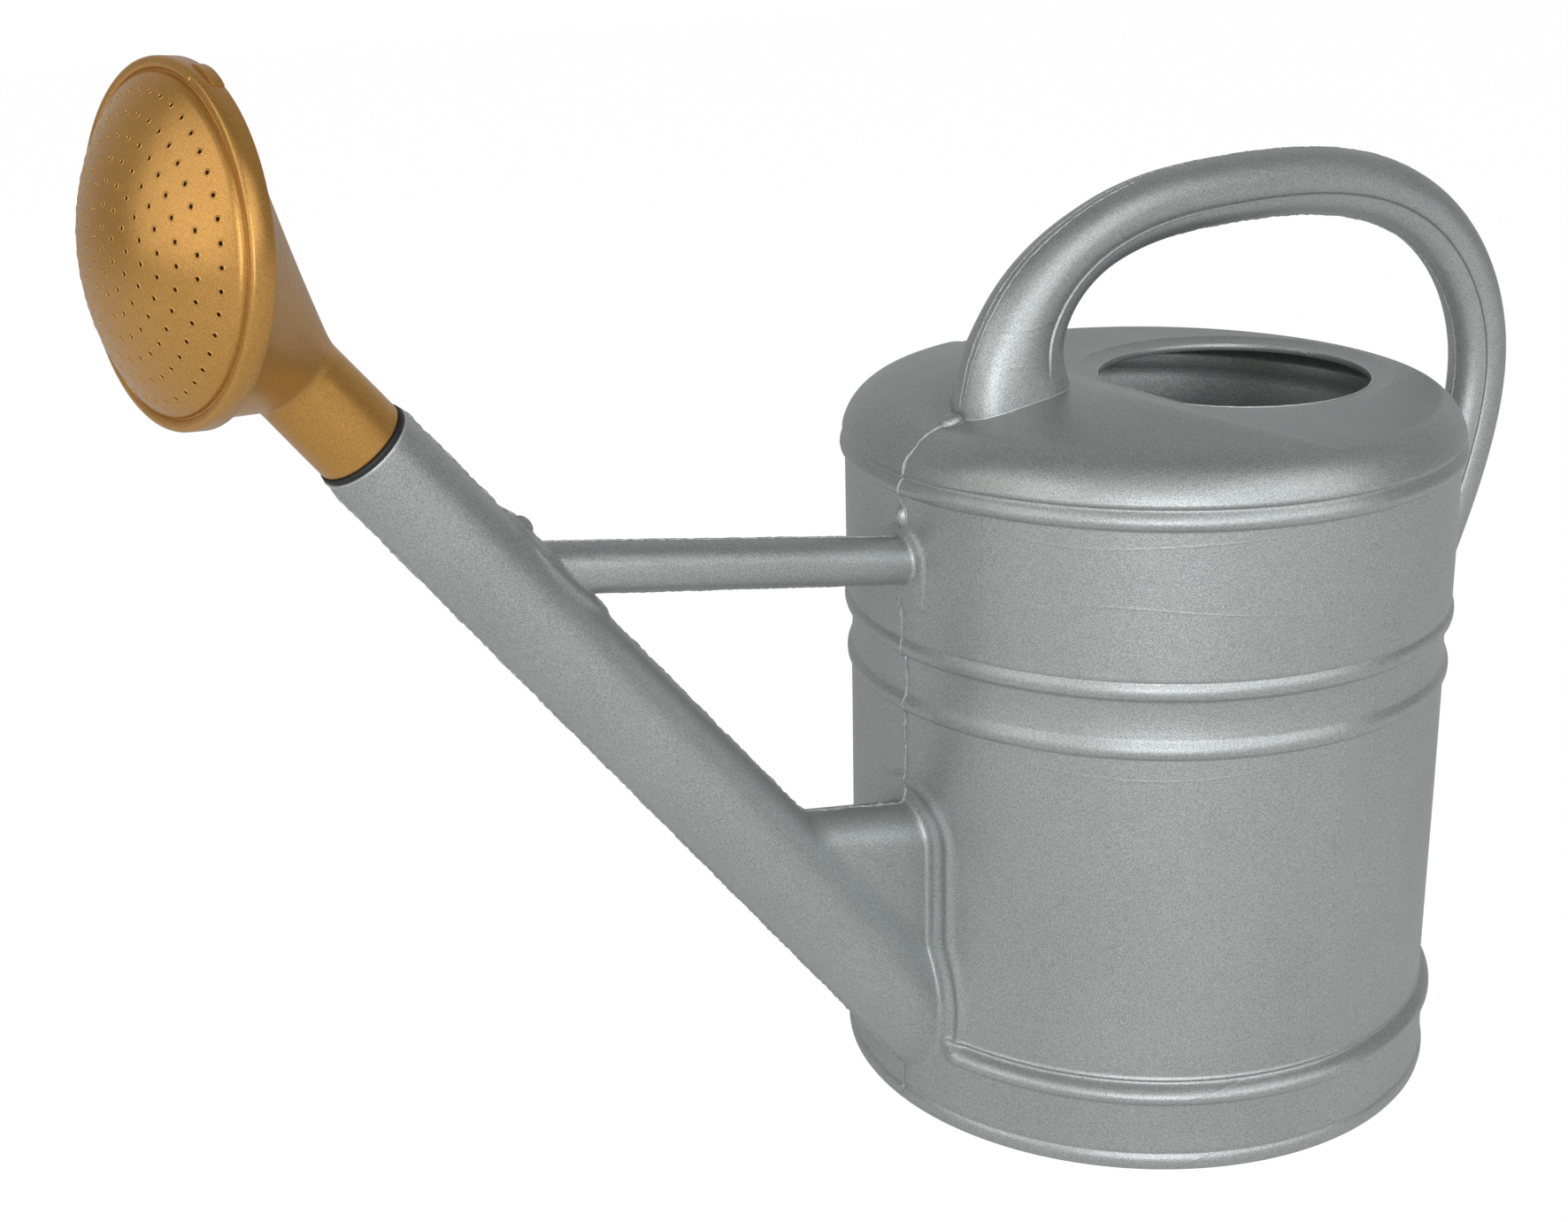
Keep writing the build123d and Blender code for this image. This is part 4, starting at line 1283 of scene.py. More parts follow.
    def build(self) -> bpy.types.Object:
        """Builds the handle as a closed sweep whose ends lie inside the tank's wall.

        Returns:
            The handle piece.
        """
        tangent = unit(np.gradient(self.line, axis=0))
        grid = []
        for number, (place, way) in enumerate(zip(self.line, tangent)):
            depth, width = self.section(number)
            grid.append(np.stack([place[0] - way[1] * depth, width, place[1] + way[0] * depth], axis=1))
        self.grid = np.array(grid)
        points = np.vstack([self.grid.reshape(-1, 3), self.grid[0].mean(axis=0), self.grid[-1].mean(axis=0)])
        piece = mesh_object("handle_skin", points, capped_faces(self.rows, len(self.angles)))
        outward(piece)
        return piece

    def foot_outline(self) -> np.ndarray:
        """The loop on which the handle's foot meets the hood, one point for each column."""
        low = self.grid[:self.foot_search]
        gap = low[..., 2] - self.tank.top_height(low[..., 0], low[..., 1])
        row = np.argmax(gap > 0.0, axis=0)
        column = np.arange(len(self.angles))
        under, over = gap[row - 1, column], gap[row, column]
        share = (-under / (over - under))[:, None]
        return low[row - 1, column] * (1.0 - share) + low[row, column] * share


# ---------------------------------------------------------------- nubs and moulding flash

@dataclass
class MouldMarks:
    """The nubs beside the joints, and the thin irregular flash along the mould's parting plane."""

    tank: TankSkin
    spout: SpoutSkin
    brace: BraceSkin
    handle: HandleSkin
    hood_nub_x: float = -94.3
    hood_nub_tilt: float = 17.0
    wall_nub_height: float = 239.6
    spout_nub_station: float = 263.6
    nub_shares: tuple[float, ...] = (0.12, 0.3, 0.5, 0.68, 0.82, 0.92, 0.98, 1.02, 1.1, 1.25, 1.4)
    nub_egg_end: float = 0.98
    nub_foot: float = 0.2
    nub_sink: float = 0.9
    nub_columns: int = 28
    strip_pitch: float = 1.35
    strip_taper: float = 2.0
    strip_sink: float = 0.8
    strip_section: tuple[tuple[float, float], ...] = (
        (-1.0, -0.35), (-0.6, 0.75), (-0.2, 1.0), (0.3, 0.95), (0.65, 0.65), (1.0, -0.35))
    ring_section: tuple[tuple[float, float], ...] = (
        (-0.5, -0.4), (-0.45, 0.6), (-0.1, 1.0), (0.35, 0.7), (0.5, -0.4))
    hood_flash_from: tuple[float, float] = (-91.0, 242.0)
    wall_flash_to: float = 212.0
    foot_flash_from: tuple[float, float] = (-115.0, 2.0)
    root_gap: float = 0.6
    base_half: float = 97.0
    base_step: float = 2.0
    root_rows: int = 12
    stray_rows: int = 34

    def nub(self, name: str, axes: Axes, length: float, width: float, height: float) -> bpy.types.Object:
        """Builds an egg-shaped nub with a soft foot.

        Args:
            name: the piece's name.
            axes: centre on the surface; x runs along the nub and z away from the surface.
            length: its length.
            width: its width.
            height: how far it stands out.

        Returns:
            The nub.
        """
        turn = np.linspace(0.0, 2.0 * pi, self.nub_columns, endpoint=False)
        last = self.nub_shares[-1]
        rows = []
        for share in self.nub_shares:
            if share < self.nub_egg_end:
                level = height * sqrt(1.0 - share ** 2)
            else:
                level = height * self.nub_foot * (last - share) / (last - self.nub_egg_end)
            if share == last:
                level -= self.nub_sink
            rows.append(np.stack([length / 2.0 * share * np.cos(turn), width / 2.0 * share * np.sin(turn),
                                  np.full_like(turn, level)], axis=1))
        tips = np.array([[0.0, 0.0, height], [0.0, 0.0, -self.nub_sink]])
        points = axes.place(np.vstack([np.array(rows).reshape(-1, 3), tips]))
        piece = mesh_object(name, points, capped_faces(len(rows), len(turn)))
        outward(piece)
        return piece

    def nubs(self) -> list[bpy.types.Object]:
        """Builds the three nubs: on the hood, and above the brace on wall and spout.

        Returns:
            The nubs, in that order.
        """
        x = self.hood_nub_x
        z = float(self.tank.top_height(np.array([x]), np.array([0.0]))[0])
        tilt = radians(self.hood_nub_tilt)
        along, out = np.array([cos(tilt), 0.0, sin(tilt)]), np.array([-sin(tilt), 0.0, cos(tilt)])
        hood = Axes(np.array([x, 0.0, z - 0.2]), along, SIDEWAYS, out)
        level = self.wall_nub_height
        radius = float(self.tank.wall_radius(np.array([pi]), np.array([level]))[0])
        wall = Axes(np.array([-radius + 0.1, 0.0, level]), UPRIGHT, SIDEWAYS, np.array([-1.0, 0.0, 0.0]))
        spout, station = self.spout, self.spout_nub_station
        reach = float(spout.reach(np.array([0.0]), np.array([station]))[0])
        tube = Axes(spout.origin + station * spout.along + (reach - 0.1) * spout.up,
                    spout.along, SIDEWAYS, spout.up)
        return [self.nub("hood_nub_skin", hood, 9.6, 7.6, 3.4),
                self.nub("wall_nub_skin", wall, 8.2, 5.2, 2.7),
                self.nub("spout_nub_skin", tube, 8.2, 5.2, 2.6)]

    def strip(self, path: np.ndarray, sign: float, seed: int, height: float, width: float, stray: float = 0.7
              ) -> np.ndarray:
        """Rows of one flash line: a thin ridge that wanders along the parting plane.

        Args:
            path: points on the surface, in the plane y = const.
            sign: 1 where the surface's outside lies to the right of the path, seen from the side, else -1.
            seed: fixed seed of its wandering.
            height: its usual height.
            width: its usual width.
            stray: how far it strays sideways.

        Returns:
            Rows of six points each.
        """
        length = lengths_along(path)
        even = np.linspace(0.0, length[-1], max(int(length[-1] / self.strip_pitch), 4))
        path = np.stack([np.interp(even, length, path[:, axis]) for axis in range(3)], axis=1)
        way = unit(np.gradient(path, axis=0))
        out = np.stack([way[:, 2], np.zeros(len(way)), -way[:, 0]], axis=1) * sign
        taper = self.strip_taper
        ends = smooth_step(even, 0.0, taper) * (1.0 - smooth_step(even, even[-1] - taper, even[-1]))
        ragged = np.clip(0.85 + 0.3 * wander(even, seed, 22.0) + 0.3 * wander(even, seed + 1, 4.5), 0.45, 1.3)
        tall = height * ends * ragged
        shift = stray * wander(even, seed + 2, 48.0) + 0.14 * wander(even, seed + 3, 6.0)
        half = width / 2.0 * (0.95 + 0.2 * wander(even, seed + 4, 9.0))
        rows = []
        for across, level in self.strip_section:
            lift = tall * max(level, 0.0) + min(level, 0.0) * self.strip_sink
            rows.append(path + SIDEWAYS * (shift + half * across)[:, None] + out * lift[:, None])
        return np.stack(rows, axis=1)

    def ring(self, loop: np.ndarray, out: np.ndarray, up: np.ndarray, width: float, height: float, seed: int
             ) -> np.ndarray:
        """Rows of a thin ridge round a closed loop.

        Args:
            loop: the loop's points.
            out: directions away from the loop's middle.
            up: the direction in which the ridge stands.
            width: the ridge's width.
            height: its height.
            seed: fixed seed of its unevenness.

        Returns:
            Rows of five points each.
        """
        rough = 1.0 + 0.25 * wander(lengths_along(loop), seed, 9.0)
        rows = []
        for across, level in self.ring_section:
            aside, lift = (width * across * rough)[:, None], (height * level * rough)[:, None]
            rows.append(loop + out * aside + up * lift)
        return np.stack(rows, axis=1)

    def _join(self, strips: list[np.ndarray], name: str, closed: bool = False) -> bpy.types.Object:
        """One piece from several strips, capped at their ends or closed into loops.

        Args:
            strips: the strips, each as rows of points.
            name: the piece's name.
            closed: whether each strip is a loop.

        Returns:
            The piece.
        """
        points, faces = [], []
        for grid in strips:
            first = sum(len(p) for p in points)
            points.append(grid.reshape(-1, 3))
            faces += grid_faces(*grid.shape[:2], closed, first)
            if closed:
                continue
            faces.append(tuple(first + j for j in range(grid.shape[1])))
            last = first + (grid.shape[0] - 1) * grid.shape[1]
            faces.append(tuple(last + j for j in reversed(range(grid.shape[1]))))
        piece = mesh_object(name, np.vstack(points), faces, smooth=False)
        outward(piece)
        return piece

    def flash(self) -> bpy.types.Object:
        """Builds every flash line as one piece.

        Returns:
            The flash.
        """
        front, rear = self.tank.front_seam[::-1], self.tank.rear_seam[::-1]
        x, z = front[:, 0], front[:, 2]
        hood_x, hood_z = self.hood_flash_from
        foot_x, foot_z = self.foot_flash_from
        above, below = self.spout.top_seam, self.spout.bottom_seam
        hood = front[(x < hood_x) & (z > hood_z)]
        wall = front[(z < self.wall_flash_to) & (z > above[0][2] + self.root_gap)]
        foot = front[(z < below[0][2] - self.root_gap) & (z > foot_z) & (x < foot_x)]
        strips = [self.strip(hood, 1.0, 11, 0.85, 1.15),
                  self.strip(np.vstack([wall, above]), 1.0, 23, 0.8, 1.1),
                  self.strip(np.vstack([below[::-1], foot]), 1.0, 31, 0.8, 1.1, 0.3)]
        for seed, low, high in ((41, 42.0, 100.0), (51, 134.0, 254.5), (61, 8.0, 27.0)):
            strips.append(self.strip(rear[(rear[:, 2] > low) & (rear[:, 2] < high)], -1.0, seed, 0.6, 1.1))
        strips += self._handle_flash() + self._brace_flash()
        x = np.arange(-self.base_half, self.base_half, self.base_step)
        base = np.stack([x, np.zeros_like(x), np.full_like(x, self.tank.base_level)], axis=1)
        strips.append(self.strip(base, 1.0, 121, 1.1, 2.2))
        return self._join(strips, "moulding_flash")

    def _handle_flash(self) -> list[np.ndarray]:
        """Flash on the handle's outside and inside, and a short stray line beside its front.

        Returns:
            The three strips.
        """
        flat = self.handle.line
        line = np.stack([flat[:, 0], np.zeros(len(flat)), flat[:, 1]], axis=1)
        tangent = unit(np.gradient(line, axis=0))
        normal = np.stack([-tangent[:, 2], np.zeros(len(line)), tangent[:, 0]], axis=1)
        depth = np.array([self.handle.half_at(number) for number in range(len(line))])
        first, end = int(np.argmax(self.handle.along > 0.0)), len(line) - self.root_rows
        strips = []
        for seed, sign, tall, inset, aside, last in ((81, 1.0, 0.38, 0.0, 0.0, end),
                                                     (91, -1.0, 0.6, 0.0, 0.0, end),
                                                     (96, 1.0, 0.30, 0.22, -2.2, first + self.stray_rows)):
            path = line + normal * (sign * (depth - inset))[:, None] + aside * SIDEWAYS
            strips.append(self.strip(path[first:last], -sign, seed, tall, 0.9, 0.2))
        return strips

    def _brace_flash(self) -> list[np.ndarray]:
        """Flash along the top and the underside of the brace."""
        brace = self.brace
        strips = []
        for seed, sign, reach in ((101, 1.0, 149.0), (111, -1.0, 143.0)):
            path = (brace.origin + np.arange(3.5, reach, 1.8)[:, None] * brace.along
                    + sign * brace.radius * brace.up)
            strips.append(self.strip(path, sign, seed, 0.5, 1.0, 0.3))
        return strips

    def trimmed_edges(self) -> bpy.types.Object:
        """Builds the thin ridges round the opening, the handle's foot and the spout's mouth, whose lighter
        finish is a painted highlight.

        Returns:
            All three edges as one piece.
        """
        plan = self.tank.edge_loop(0.3)
        opening = np.column_stack([plan, np.full(len(plan), self.tank.panel - self.tank.recess_depth)])
        foot = self.handle.foot_outline()
        turn = np.linspace(0.0, 2.0 * pi, 96, endpoint=False)[:, None]
        spout = self.spout
        mouth = (spout.origin + (spout.length - 0.35) * spout.along
                 + (np.cos(turn) * spout.up + np.sin(turn) * spout.side) * (spout.mouth_radius - 0.2))
        loops = []
        for loop, up, width, height, seed in ((opening, UPRIGHT, 0.9, 0.35, 141),
                                              (foot, UPRIGHT, 0.6, 0.26, 151),
                                              (mouth, spout.along, 0.7, 0.3, 161)):
            away = loop - loop.mean(axis=0)
            out = unit(away - (away @ up)[:, None] * up)
            loops.append(self.ring(loop, out, up, width, height, seed))
        return self._join(loops, "trimmed_edges", closed=True)


# ---------------------------------------------------------------- the rose

@dataclass
class Rose:
    """The gold rose: spigot, tube and cone, the perforated face that clips on, and the rubber seal."""

    spout: SpoutSkin
    turn: float = 11.5
    seal_height: float = 1.8
    tube_length: float = 30.6
    face_reach: float = 86.6
    face_tilt: float = 46.0
    cone_radius: float = 50.0
    wall: float = 1.8
    dome_radius: float = 77.0
    dome_height: float = 18.85
    dome_edge: float = 48.1
    rim_radius: float = 52.8
    rim_depth: float = 6.0
    hole_radius: float = 0.68
    lip_radius: float = 1.15
    lip_height: float = 0.13
    ring_pitch: float = 6.22
    hole_turn: float = -3.4
    gate_angle: float = 151.6
    gate_radius: float = 51.0
    tab_angle: float = 151.2
    tab_half: float = 6.4
    tab_back: float = -3.0
    tab_bow: float = 1.15
    tab_bow_half: float = 6.5
    tab_columns: int = 13
    rings: int = 7
    holes_in_first_ring: int = 6
    columns: int = 120
    tube_radius: float = 14.9
    bend_share: float = 0.055
    body_lip: float = 50.9
    bore_radius: float = 13.1
    drill_columns: int = 12
    lip_columns: int = 14
    gate_columns: int = 9
    seal_outline: tuple[tuple[float, float], ...] = (
        (12.75, -16.0), (14.2, -16.0), (14.52, -15.6), (14.52, 0.1), (15.7, 0.1), (15.9, 0.35), (15.98, 0.95),
        (15.88, 1.5), (15.6, 1.78), (13.0, 1.78), (12.75, 1.5))
    rim_outline: tuple[tuple[float, float], ...] = (
        (48.3, 1.5), (48.45, 0.8), (48.65, 0.25), (49.0, 0.05), (49.3, 0.2), (49.5, 0.55), (49.75, 0.85),
        (50.1, 1.0), (50.8, 1.08), (51.5, 1.1), (52.1, 0.95), (52.55, 0.5), (52.75, -0.1), (52.8, -1.4),
        (52.8, -5.5), (52.55, -5.95), (51.0, -6.0), (51.0, -1.8), (45.8, -1.8))
    smooth_angle: float = 40.0

    def __post_init__(self) -> None:
        """Works out the rose's own axes."""
        a = radians(self.turn)
        along = self.spout.along
        side = -self.spout.up * cos(a) - self.spout.side * sin(a)
        mouth = self.spout.origin + self.spout.length * along
        across = np.cross(along, side)
        tilt = radians(self.face_tilt)
        normal = along * cos(tilt) + side * sin(tilt)
        down = side * cos(tilt) - along * sin(tilt)
        self.mouth = Axes(mouth, side, across, along)
        self.face = Axes(mouth + along * self.face_reach, down, np.cross(normal, down), normal)
        self.angles = np.linspace(0.0, 2.0 * pi, self.columns, endpoint=False)

    def _circle(self, axes: Axes, radius: float, level: float) -> np.ndarray:
        """A circle of points about an axis."""
        return axes.place(on_circle(radius, self.angles, level))

    def seal(self) -> bpy.types.Object:
        """Builds the rubber seal: a sleeve in the socket and a rounded collar on its rim."""
        rows = [self._circle(self.mouth, radius, level) for radius, level in self.seal_outline]
        return tube_shell("rose_seal_skin", rows, [])

    def body(self) -> bpy.types.Object:
        """Builds spigot, tube, oblique cone and lip as one closed shell.

        Returns:
            The rose's body.
        """
        foot, crease = self.seal_height + 0.1, self.seal_height + self.tube_length
        rows = [self._circle(self.mouth, r, z) for r, z in (
            (11.2, -18.4), (12.9, -18.4), (13.25, -18.0), (13.25, -16.8), (12.66, -16.4), (12.66, foot),
            (self.tube_radius, foot), (15.2, foot + 0.3), (15.25, foot + 1.0), (15.2, foot + 9.0),
            (15.05, foot + 18.0), (14.92, crease - 4.0), (self.tube_radius, crease - 2.4))]
        inner_edge = self._circle(self.mouth, self.tube_radius, crease)
        rim = self._circle(self.face, self.cone_radius, -self.rim_depth)
        lead = inner_edge + (rim - inner_edge) * self.bend_share
        rows += bend_rows(rows[-1], inner_edge, lead, 6)
        for share in np.linspace(self.bend_share, 1.0, 26)[1:]:
            rows.append(inner_edge + (rim - inner_edge) * share)
        bore, lip = self.cone_radius - self.wall, self.body_lip
        rows += [self._circle(self.face, r, z) for r, z in (
            (lip, -5.6), (lip, -2.2), (lip - 0.3, -2.1), (bore, -2.1), (bore, -self.rim_depth))]
        inside = self._circle(self.mouth, self.bore_radius, crease)
        for share in np.linspace(0.0, 1.0, 8)[1:-1]:
            rows.append(rows[-1] + (inside - rows[-1]) * share)
        rows += [inside, self._circle(self.mouth, self.bore_radius, 4.0), self._circle(self.mouth, 11.2, 2.0)]
        return tube_shell("rose_body_skin", rows, [])

    def dome_level(self, radius: float) -> float:
        """Height of the dome over the groove at a distance from its middle."""
        return self.dome_height - self.dome_radius + sqrt(self.dome_radius ** 2 - radius ** 2)

    def _blank_face(self) -> bpy.types.Object:
        """The domed face with its groove and rim, before the holes are made, in its own frame.

        Returns:
            The face.
        """
        inner = self.dome_radius - self.wall
        outline = [(r, self.dome_level(r)) for r in np.linspace(1.6, self.dome_edge, 42)]
        outline += self.rim_outline
        outline += [(r, self.dome_height - self.dome_radius + sqrt(inner ** 2 - r ** 2))
                    for r in np.linspace(self.rim_outline[-1][0], 1.6, 14)]
        rows = [on_circle(radius, self.angles, level) for radius, level in outline]
        tips = [[0.0, 0.0, self.dome_height], [0.0, 0.0, self.dome_height - self.wall]]
        points = np.vstack([*rows, tips])
        piece = mesh_object("rose_face_skin", points, capped_faces(len(rows), self.columns))
        outward(piece)
        return piece

    def _perforation_tree(self, material: bpy.types.Material) -> bpy.types.NodeTree:
        """Geometry nodes that set a shape on every hole's place, square to the dome.

        Args:
            material: what the shapes are made of.

        Returns:
            The node tree.
        """
        tree = bpy.data.node_groups.new("rose_perforations", "GeometryNodeTree")
        face = tree.interface
        face.new_socket("Geometry", in_out="INPUT", socket_type="NodeSocketGeometry")
        face.new_socket("Shape", in_out="INPUT", socket_type="NodeSocketObject")
        for name in ("Ring pitch", "Dome radius", "Dome height", "Turn"):
            face.new_socket(name, in_out="INPUT", socket_type="NodeSocketFloat")
        face.new_socket("Holes in first ring", in_out="INPUT", socket_type="NodeSocketInt")
        face.new_socket("Geometry", in_out="OUTPUT", socket_type="NodeSocketGeometry")
        graph = Graph(tree)
        given = graph.nodes.new("NodeGroupInput").outputs
        radius, height = given["Dome radius"], given["Dome height"]
        join = graph.nodes.new("GeometryNodeJoinGeometry")
        graph.feed(join, {0: graph.add("GeometryNodeMeshLine", {"Count": 1}, "Mesh")})
        for ring in range(1, self.rings + 1):
            count = graph.math("MULTIPLY", given["Holes in first ring"], float(ring))
            size = graph.math("MULTIPLY", given["Ring pitch"], float(ring))
            circle = graph.add("GeometryNodeMeshCircle", {"Vertices": count, "Radius": size}, "Mesh")
            graph.feed(join, {0: circle})
        twist = graph.add("ShaderNodeCombineXYZ", {"Z": given["Turn"]})
        turned = graph.add("GeometryNodeTransform", {"Geometry": join.outputs[0], "Rotation": twist})
        where = graph.add("GeometryNodeInputPosition")
        length = graph.add("ShaderNodeVectorMath", {0: where}, "Value", operation="LENGTH")
        square = graph.math("SUBTRACT", graph.math("MULTIPLY", radius, radius),
                            graph.math("MULTIPLY", length, length))
        drop = graph.math("SUBTRACT", graph.math("SQRT", square), radius)
        lift = graph.add("ShaderNodeCombineXYZ", {"Z": graph.math("ADD", drop, height)})
        places = graph.add("GeometryNodeSetPosition", {"Geometry": turned, "Offset": lift})
        centre = graph.add("ShaderNodeCombineXYZ", {"Z": graph.math("SUBTRACT", height, radius)})
        away = graph.add("ShaderNodeVectorMath", {0: where, 1: centre}, operation="SUBTRACT")
        square_to_dome = graph.add("FunctionNodeAlignRotationToVector", {"Vector": away}, axis="Z")
        shape = graph.add("GeometryNodeObjectInfo", {"Object": given["Shape"]}, "Geometry")
        copies = graph.add("GeometryNodeInstanceOnPoints", {"Points": places, "Instance": shape,
                                                            "Rotation": square_to_dome})
        real = graph.add("GeometryNodeRealizeInstances", {0: copies})
        dressed = graph.add("GeometryNodeSetMaterial", {"Geometry": real, "Material": material})
        graph.feed(graph.nodes.new("NodeGroupOutput"), {0: dressed})
        return tree

    def _perforate(self, tree: bpy.types.NodeTree, name: str, shape: bpy.types.Object) -> bpy.types.Object:
        """Sets a shape on every hole's place.

        Args:
            tree: the nodes that set it there.
            name: name of the result.
            shape: the shape, about its own origin.

        Returns:
            All the shapes as one plain mesh object.
        """
        carrier = placed(name + "_carrier", bpy.data.meshes.new(name + "_carrier"))
        modifier = carrier.modifiers.new("perforations", "NODES")
        modifier.node_group = tree
        values = {"Shape": shape, "Ring pitch": self.ring_pitch * MM, "Dome radius": self.dome_radius * MM,
                  "Dome height": self.dome_height * MM, "Turn": radians(self.hole_turn),
                  "Holes in first ring": self.holes_in_first_ring}
        for item in tree.interface.items_tree:
            if item.in_out == "INPUT" and item.name in values:
                modifier[item.identifier] = values[item.name]
        bpy.context.view_layer.update()
        ready = carrier.evaluated_get(bpy.context.evaluated_depsgraph_get())
        mesh = bpy.data.meshes.new_from_object(ready)
        mesh.name = name
        bpy.data.objects.remove(carrier)
        return placed(name, mesh)

    def _stamp(self, name: str, outline: list[tuple[float, float]], columns: int) -> bpy.types.Object:
        """A small closed turned shape, whole at the axis where its outline reaches it."""
        angle = np.linspace(0.0, 2.0 * pi, columns, endpoint=False)
        rows = [on_circle(radius, angle, level) for radius, level in outline]
        if outline[0][0] > 0.0:
            return tube_shell(name, rows, [])
        rows = rows[1:-1]
        tips = [[0.0, 0.0, outline[0][1]], [0.0, 0.0, outline[-1][1]]]
        piece = mesh_object(name, np.vstack([*rows, tips]), capped_faces(len(rows), columns))
        outward(piece)
        return piece

    def perforated_face(self, material: bpy.types.Material) -> list[bpy.types.Object]:
        """Builds the face with its real holes, the raised lips around them and the gate mark.

        Args:
            material: the gold finish.

        Returns:
            The face, the lips and the gate mark on its rim.
        """
        face = self._blank_face()
        tree = self._perforation_tree(material)
        hole = self.hole_radius
        drill = self._stamp("hole_drill", [(0.0, -4.0), (hole, -4.0), (hole, 1.5), (0.0, 1.5)],
                            self.drill_columns)
        drills = self._perforate(tree, "hole_drills", drill)
        cut = face.modifiers.new("holes", "BOOLEAN")
        cut.operation, cut.solver, cut.object = "DIFFERENCE", "MANIFOLD", drills
        bpy.context.view_layer.update()
        ready = face.evaluated_get(bpy.context.evaluated_depsgraph_get())
        mesh = bpy.data.meshes.new_from_object(ready)
        face.modifiers.clear()
        face.data = mesh
        mesh.polygons.foreach_set("use_smooth", [True] * len(mesh.polygons))
        mesh.set_sharp_from_angle(angle=radians(self.smooth_angle))
        wide, tall = self.lip_radius, self.lip_height
        profile = [(hole - 0.02, -0.8), (hole - 0.02, tall * 0.7), (hole + 0.1, tall), (0.92, tall * 0.8),
                   (1.05, tall * 0.3), (wide, -0.03), (wide, -0.5)]
        lip = self._stamp("hole_lip", profile, self.lip_columns)
        lips = self._perforate(tree, "rose_hole_lips", lip)
        lips.data.polygons.foreach_set("use_smooth", [True] * len(lips.data.polygons))
        gate = self._stamp("rose_gate_mark", [(0.0, -0.6), (0.95, -0.6), (0.9, 0.25), (0.5, 0.5), (0.0, 0.5)],
                           self.gate_columns)
        a = radians(self.gate_angle)
        place = Vector((self.gate_radius * cos(a), self.gate_radius * sin(a), 1.0))
        gate.data.transform(Matrix.Translation(place * MM))
        for scrap in (drill, drills, lip):
            bpy.data.objects.remove(scrap)
        directions = (self.face.x, self.face.y, self.face.z, self.face.origin * MM)
        matrix = Matrix([[float(d[i]) for d in directions] for i in range(3)] + [[0.0, 0.0, 0.0, 1.0]])
        for piece in (face, lips, gate):
            piece.data.transform(matrix)
        return [face, lips, gate]

    def tab(self) -> bpy.types.Object:
        """Builds the thumb tab on the rim's back edge, rounded at its corners.

        Returns:
            The tab.
        """
        angle, half, back = radians(self.tab_angle), self.tab_half, self.tab_back
        out = np.array([cos(angle), sin(angle), 0.0])
        beside = np.array([-sin(angle), cos(angle), 0.0])
        edge = [(self.tab_bow * (1.0 - (y / self.tab_bow_half) ** 2), y)
                for y in np.linspace(-half, half, self.tab_columns)]
        plan = [(back, -half), *edge, (back, half)]
        reach = self.rim_radius - 0.05
        rows = []
        for level, grow in ((-5.98, -0.25), (-5.75, 0.0), (-2.6, 0.0), (-2.3, -0.35)):
            rows.append(np.array([out * (reach + x + grow * (x > back)) + beside * y + level * UPRIGHT
                                  for x, y in plan]))
        grid = self.face.place(np.array(rows))
        points = grid.reshape(-1, 3)
        count = len(plan)
        faces = grid_faces(len(rows), count)
        faces += [tuple(reversed(range(count))), tuple(len(points) - count + j for j in range(count))]
        piece = mesh_object("rose_tab_skin", points, faces, smooth=False)
        outward(piece)
        return piece


# ---------------------------------------------------------------- the studio

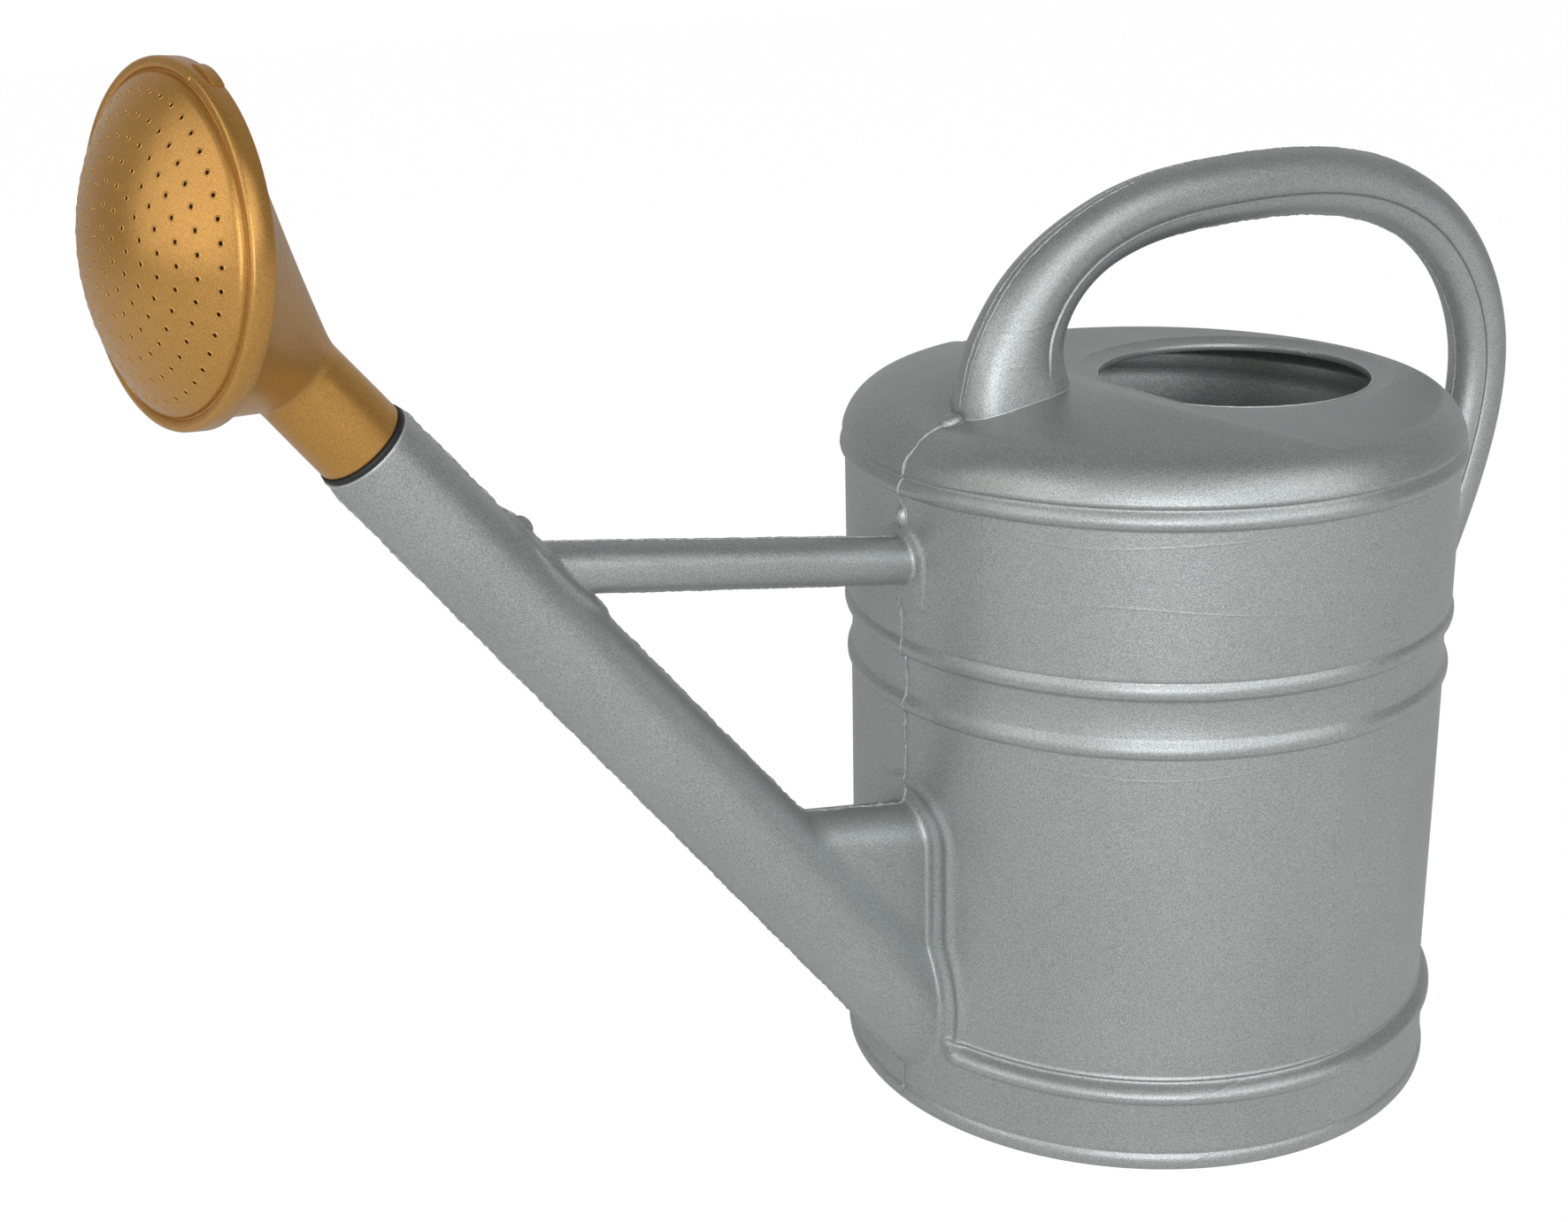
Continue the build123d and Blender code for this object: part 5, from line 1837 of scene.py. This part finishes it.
@dataclass
class Studio:
    """Camera, pale floor, soft lights and a white surround."""

    place: tuple[float, float, float] = (-0.5716, -0.6348, 0.4774)
    heading: float = 57.515
    dip: float = 19.254
    roll: float = -1.343
    lens: float = 52.1
    sensor: float = 36.0
    clip: tuple[float, float] = (0.01, 50.0)
    floor_size: float = 9.0
    floor_level: float = -0.05
    floor_grey: float = 0.82
    floor_glow: float = 1.04
    seen_glow: float = 0.94
    mirrored_glow: float = 0.15
    front_glow: float = 1.26
    back_glow: float = 0.73
    aim: tuple[float, float, float] = (-0.08, 0.0, 0.18)

    def camera(self) -> None:
        """Sets up the camera."""
        data = bpy.data.cameras.new("camera")
        data.lens, data.sensor_width, data.sensor_fit = self.lens, self.sensor, "HORIZONTAL"
        data.clip_start, data.clip_end = self.clip
        h, d, r = radians(self.heading), radians(self.dip), radians(self.roll)
        forward = Vector((cos(h) * cos(d), sin(h) * cos(d), -sin(d)))
        level = Vector((sin(h), -cos(h), 0.0))
        upright = level.cross(forward)
        right = level * cos(r) + upright * sin(r)
        up = upright * cos(r) - level * sin(r)
        turn = Matrix((right, up, -forward)).transposed().to_4x4()
        camera = placed("camera", data)
        camera.matrix_world = Matrix.Translation(Vector(self.place)) @ turn
        bpy.context.scene.camera = camera

    def floor(self) -> None:
        """Sets up the plain pale floor, which keeps the shadow."""
        half = self.floor_size / 2.0 / MM
        signs = ((-1.0, -1.0), (1.0, -1.0), (1.0, 1.0), (-1.0, 1.0))
        corners = np.array([(x * half, y * half, self.floor_level) for x, y in signs])
        floor = mesh_object("floor", corners, [(0, 1, 2, 3)], smooth=False)
        made, graph = new_material("pale_floor")
        graph.nodes.clear()
        diffuse = graph.add("ShaderNodeBsdfDiffuse", {"Color": (*[self.floor_grey] * 3, 1.0)})
        glow = graph.add("ShaderNodeEmission", {"Strength": self.floor_glow})
        path = graph.nodes.new("ShaderNodeLightPath").outputs
        mirrored = graph.math("MULTIPLY", path["Is Glossy Ray"], self.mirrored_glow)
        share = graph.math("MULTIPLY_ADD", path["Is Camera Ray"], self.seen_glow, mirrored)
        graph.finish("ShaderNodeOutputMaterial", share, diffuse, glow)
        floor.data.materials.append(made)

    def surround(self) -> None:
        """Sets up the surround: white to the camera, softly graded for light and reflections."""
        world = bpy.data.worlds.new("surround")
        bpy.context.scene.world = world
        world.use_nodes = True
        graph = Graph(world.node_tree)
        graph.nodes.clear()
        h = radians(self.heading)
        direction = graph.add("ShaderNodeTexCoord", output="Generated")
        across = graph.add("ShaderNodeVectorMath", {0: direction, 1: (cos(h), sin(h), 0.0)}, "Value",
                           operation="DOT_PRODUCT")
        front, back = (
            graph.add("ShaderNodeMapRange", {"Value": across, "From Max": sign, "To Max": glow}, "Result")
            for sign, glow in ((-1.0, self.front_glow), (1.0, self.back_glow)))
        soft = graph.add("ShaderNodeBackground", {"Strength": graph.math("ADD", front, back)})
        white = graph.add("ShaderNodeBackground", {"Color": (1.0, 1.0, 1.0, 1.0)})
        seen = graph.add("ShaderNodeLightPath", output="Is Camera Ray")
        graph.finish("ShaderNodeOutputWorld", seen, soft, white)

    def lamp(self, name: str, azimuth: float, elevation: float, distance: float, size: float, power: float
             ) -> None:
        """Sets up one square softbox that points at the can.

        Args:
            name: the lamp's name.
            azimuth: where it stands round the can, in degrees.
            elevation: how high it stands, in degrees.
            distance: how far away it stands, in metres.
            size: its side, in metres.
            power: its power, in watts.
        """
        data = bpy.data.lights.new(name, "AREA")
        data.shape, data.size, data.energy = "SQUARE", size, power
        a, e = radians(azimuth), radians(elevation)
        away = Vector((cos(a) * cos(e), sin(a) * cos(e), sin(e)))
        turn = away.to_track_quat("Z", "Y").to_matrix().to_4x4()
        placed(name, data).matrix_world = Matrix.Translation(Vector(self.aim) + away * distance) @ turn

    def build(self) -> None:
        """Sets up the whole studio."""
        bpy.context.scene.view_settings.view_transform = "Standard"
        self.camera()
        self.floor()
        self.surround()
        self.lamp("front_softbox", -122.0, 12.0, 2.4, 1.6, 20.4)
        self.lamp("side_softbox", -75.0, 30.0, 2.0, 1.6, 10.6)
        self.lamp("left_softbox", 175.0, 25.0, 2.0, 1.6, 10.1)


def main() -> None:
    """Builds the watering can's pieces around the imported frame, in order."""
    logging.basicConfig(level=logging.INFO, format="%(name)s: %(message)s")
    Studio().build()
    shop = Workshop()
    tank = TankSkin()
    shop.install(tank.shell(), SILVER, "can", "base_pan", "lower_wall", "waist_band", "upper_wall", "hood",
                 "filler_panel", "spout_border")
    spout = SpoutSkin(tank)
    shop.install(spout.build(), SILVER, "can", "spout_tube", "spout_gusset", "brace_spout_pad")
    brace = BraceSkin(tank, spout)
    shop.install(brace.build(), SILVER, "can", "brace_tube")
    handle = HandleSkin(tank)
    shop.install(handle.build(), SILVER, "can", "handle")
    marks = MouldMarks(tank, spout, brace, handle)
    hood_nub, wall_nub, spout_nub = marks.nubs()
    shop.install(hood_nub, SILVER, "can", "hood_nub")
    shop.install(wall_nub, SILVER, "can", "brace_wall_pad")
    shop.install(spout_nub, SILVER, "can")
    shop.install(marks.flash(), SILVER, "can")
    # the edge ridges are real, and their lighter finish is a painted highlight
    shop.install(marks.trimmed_edges(), EDGE_PAINTED_HIGHLIGHT, "can")
    rose = Rose(spout)
    shop.install(rose.seal(), RUBBER, "seal", "rose_seal")
    shop.install(rose.body(), GOLD, "rose", "rose_body")
    face, lips, gate = rose.perforated_face(shop.materials[GOLD.name])
    shop.install(face, GOLD, "sieve_face", "rose_face")
    shop.install(lips, GOLD, "sieve_face")
    shop.install(gate, GOLD, "sieve_face")
    shop.install(rose.tab(), GOLD, "sieve_face", "rose_tab")


if __name__ == "__main__":
    main()
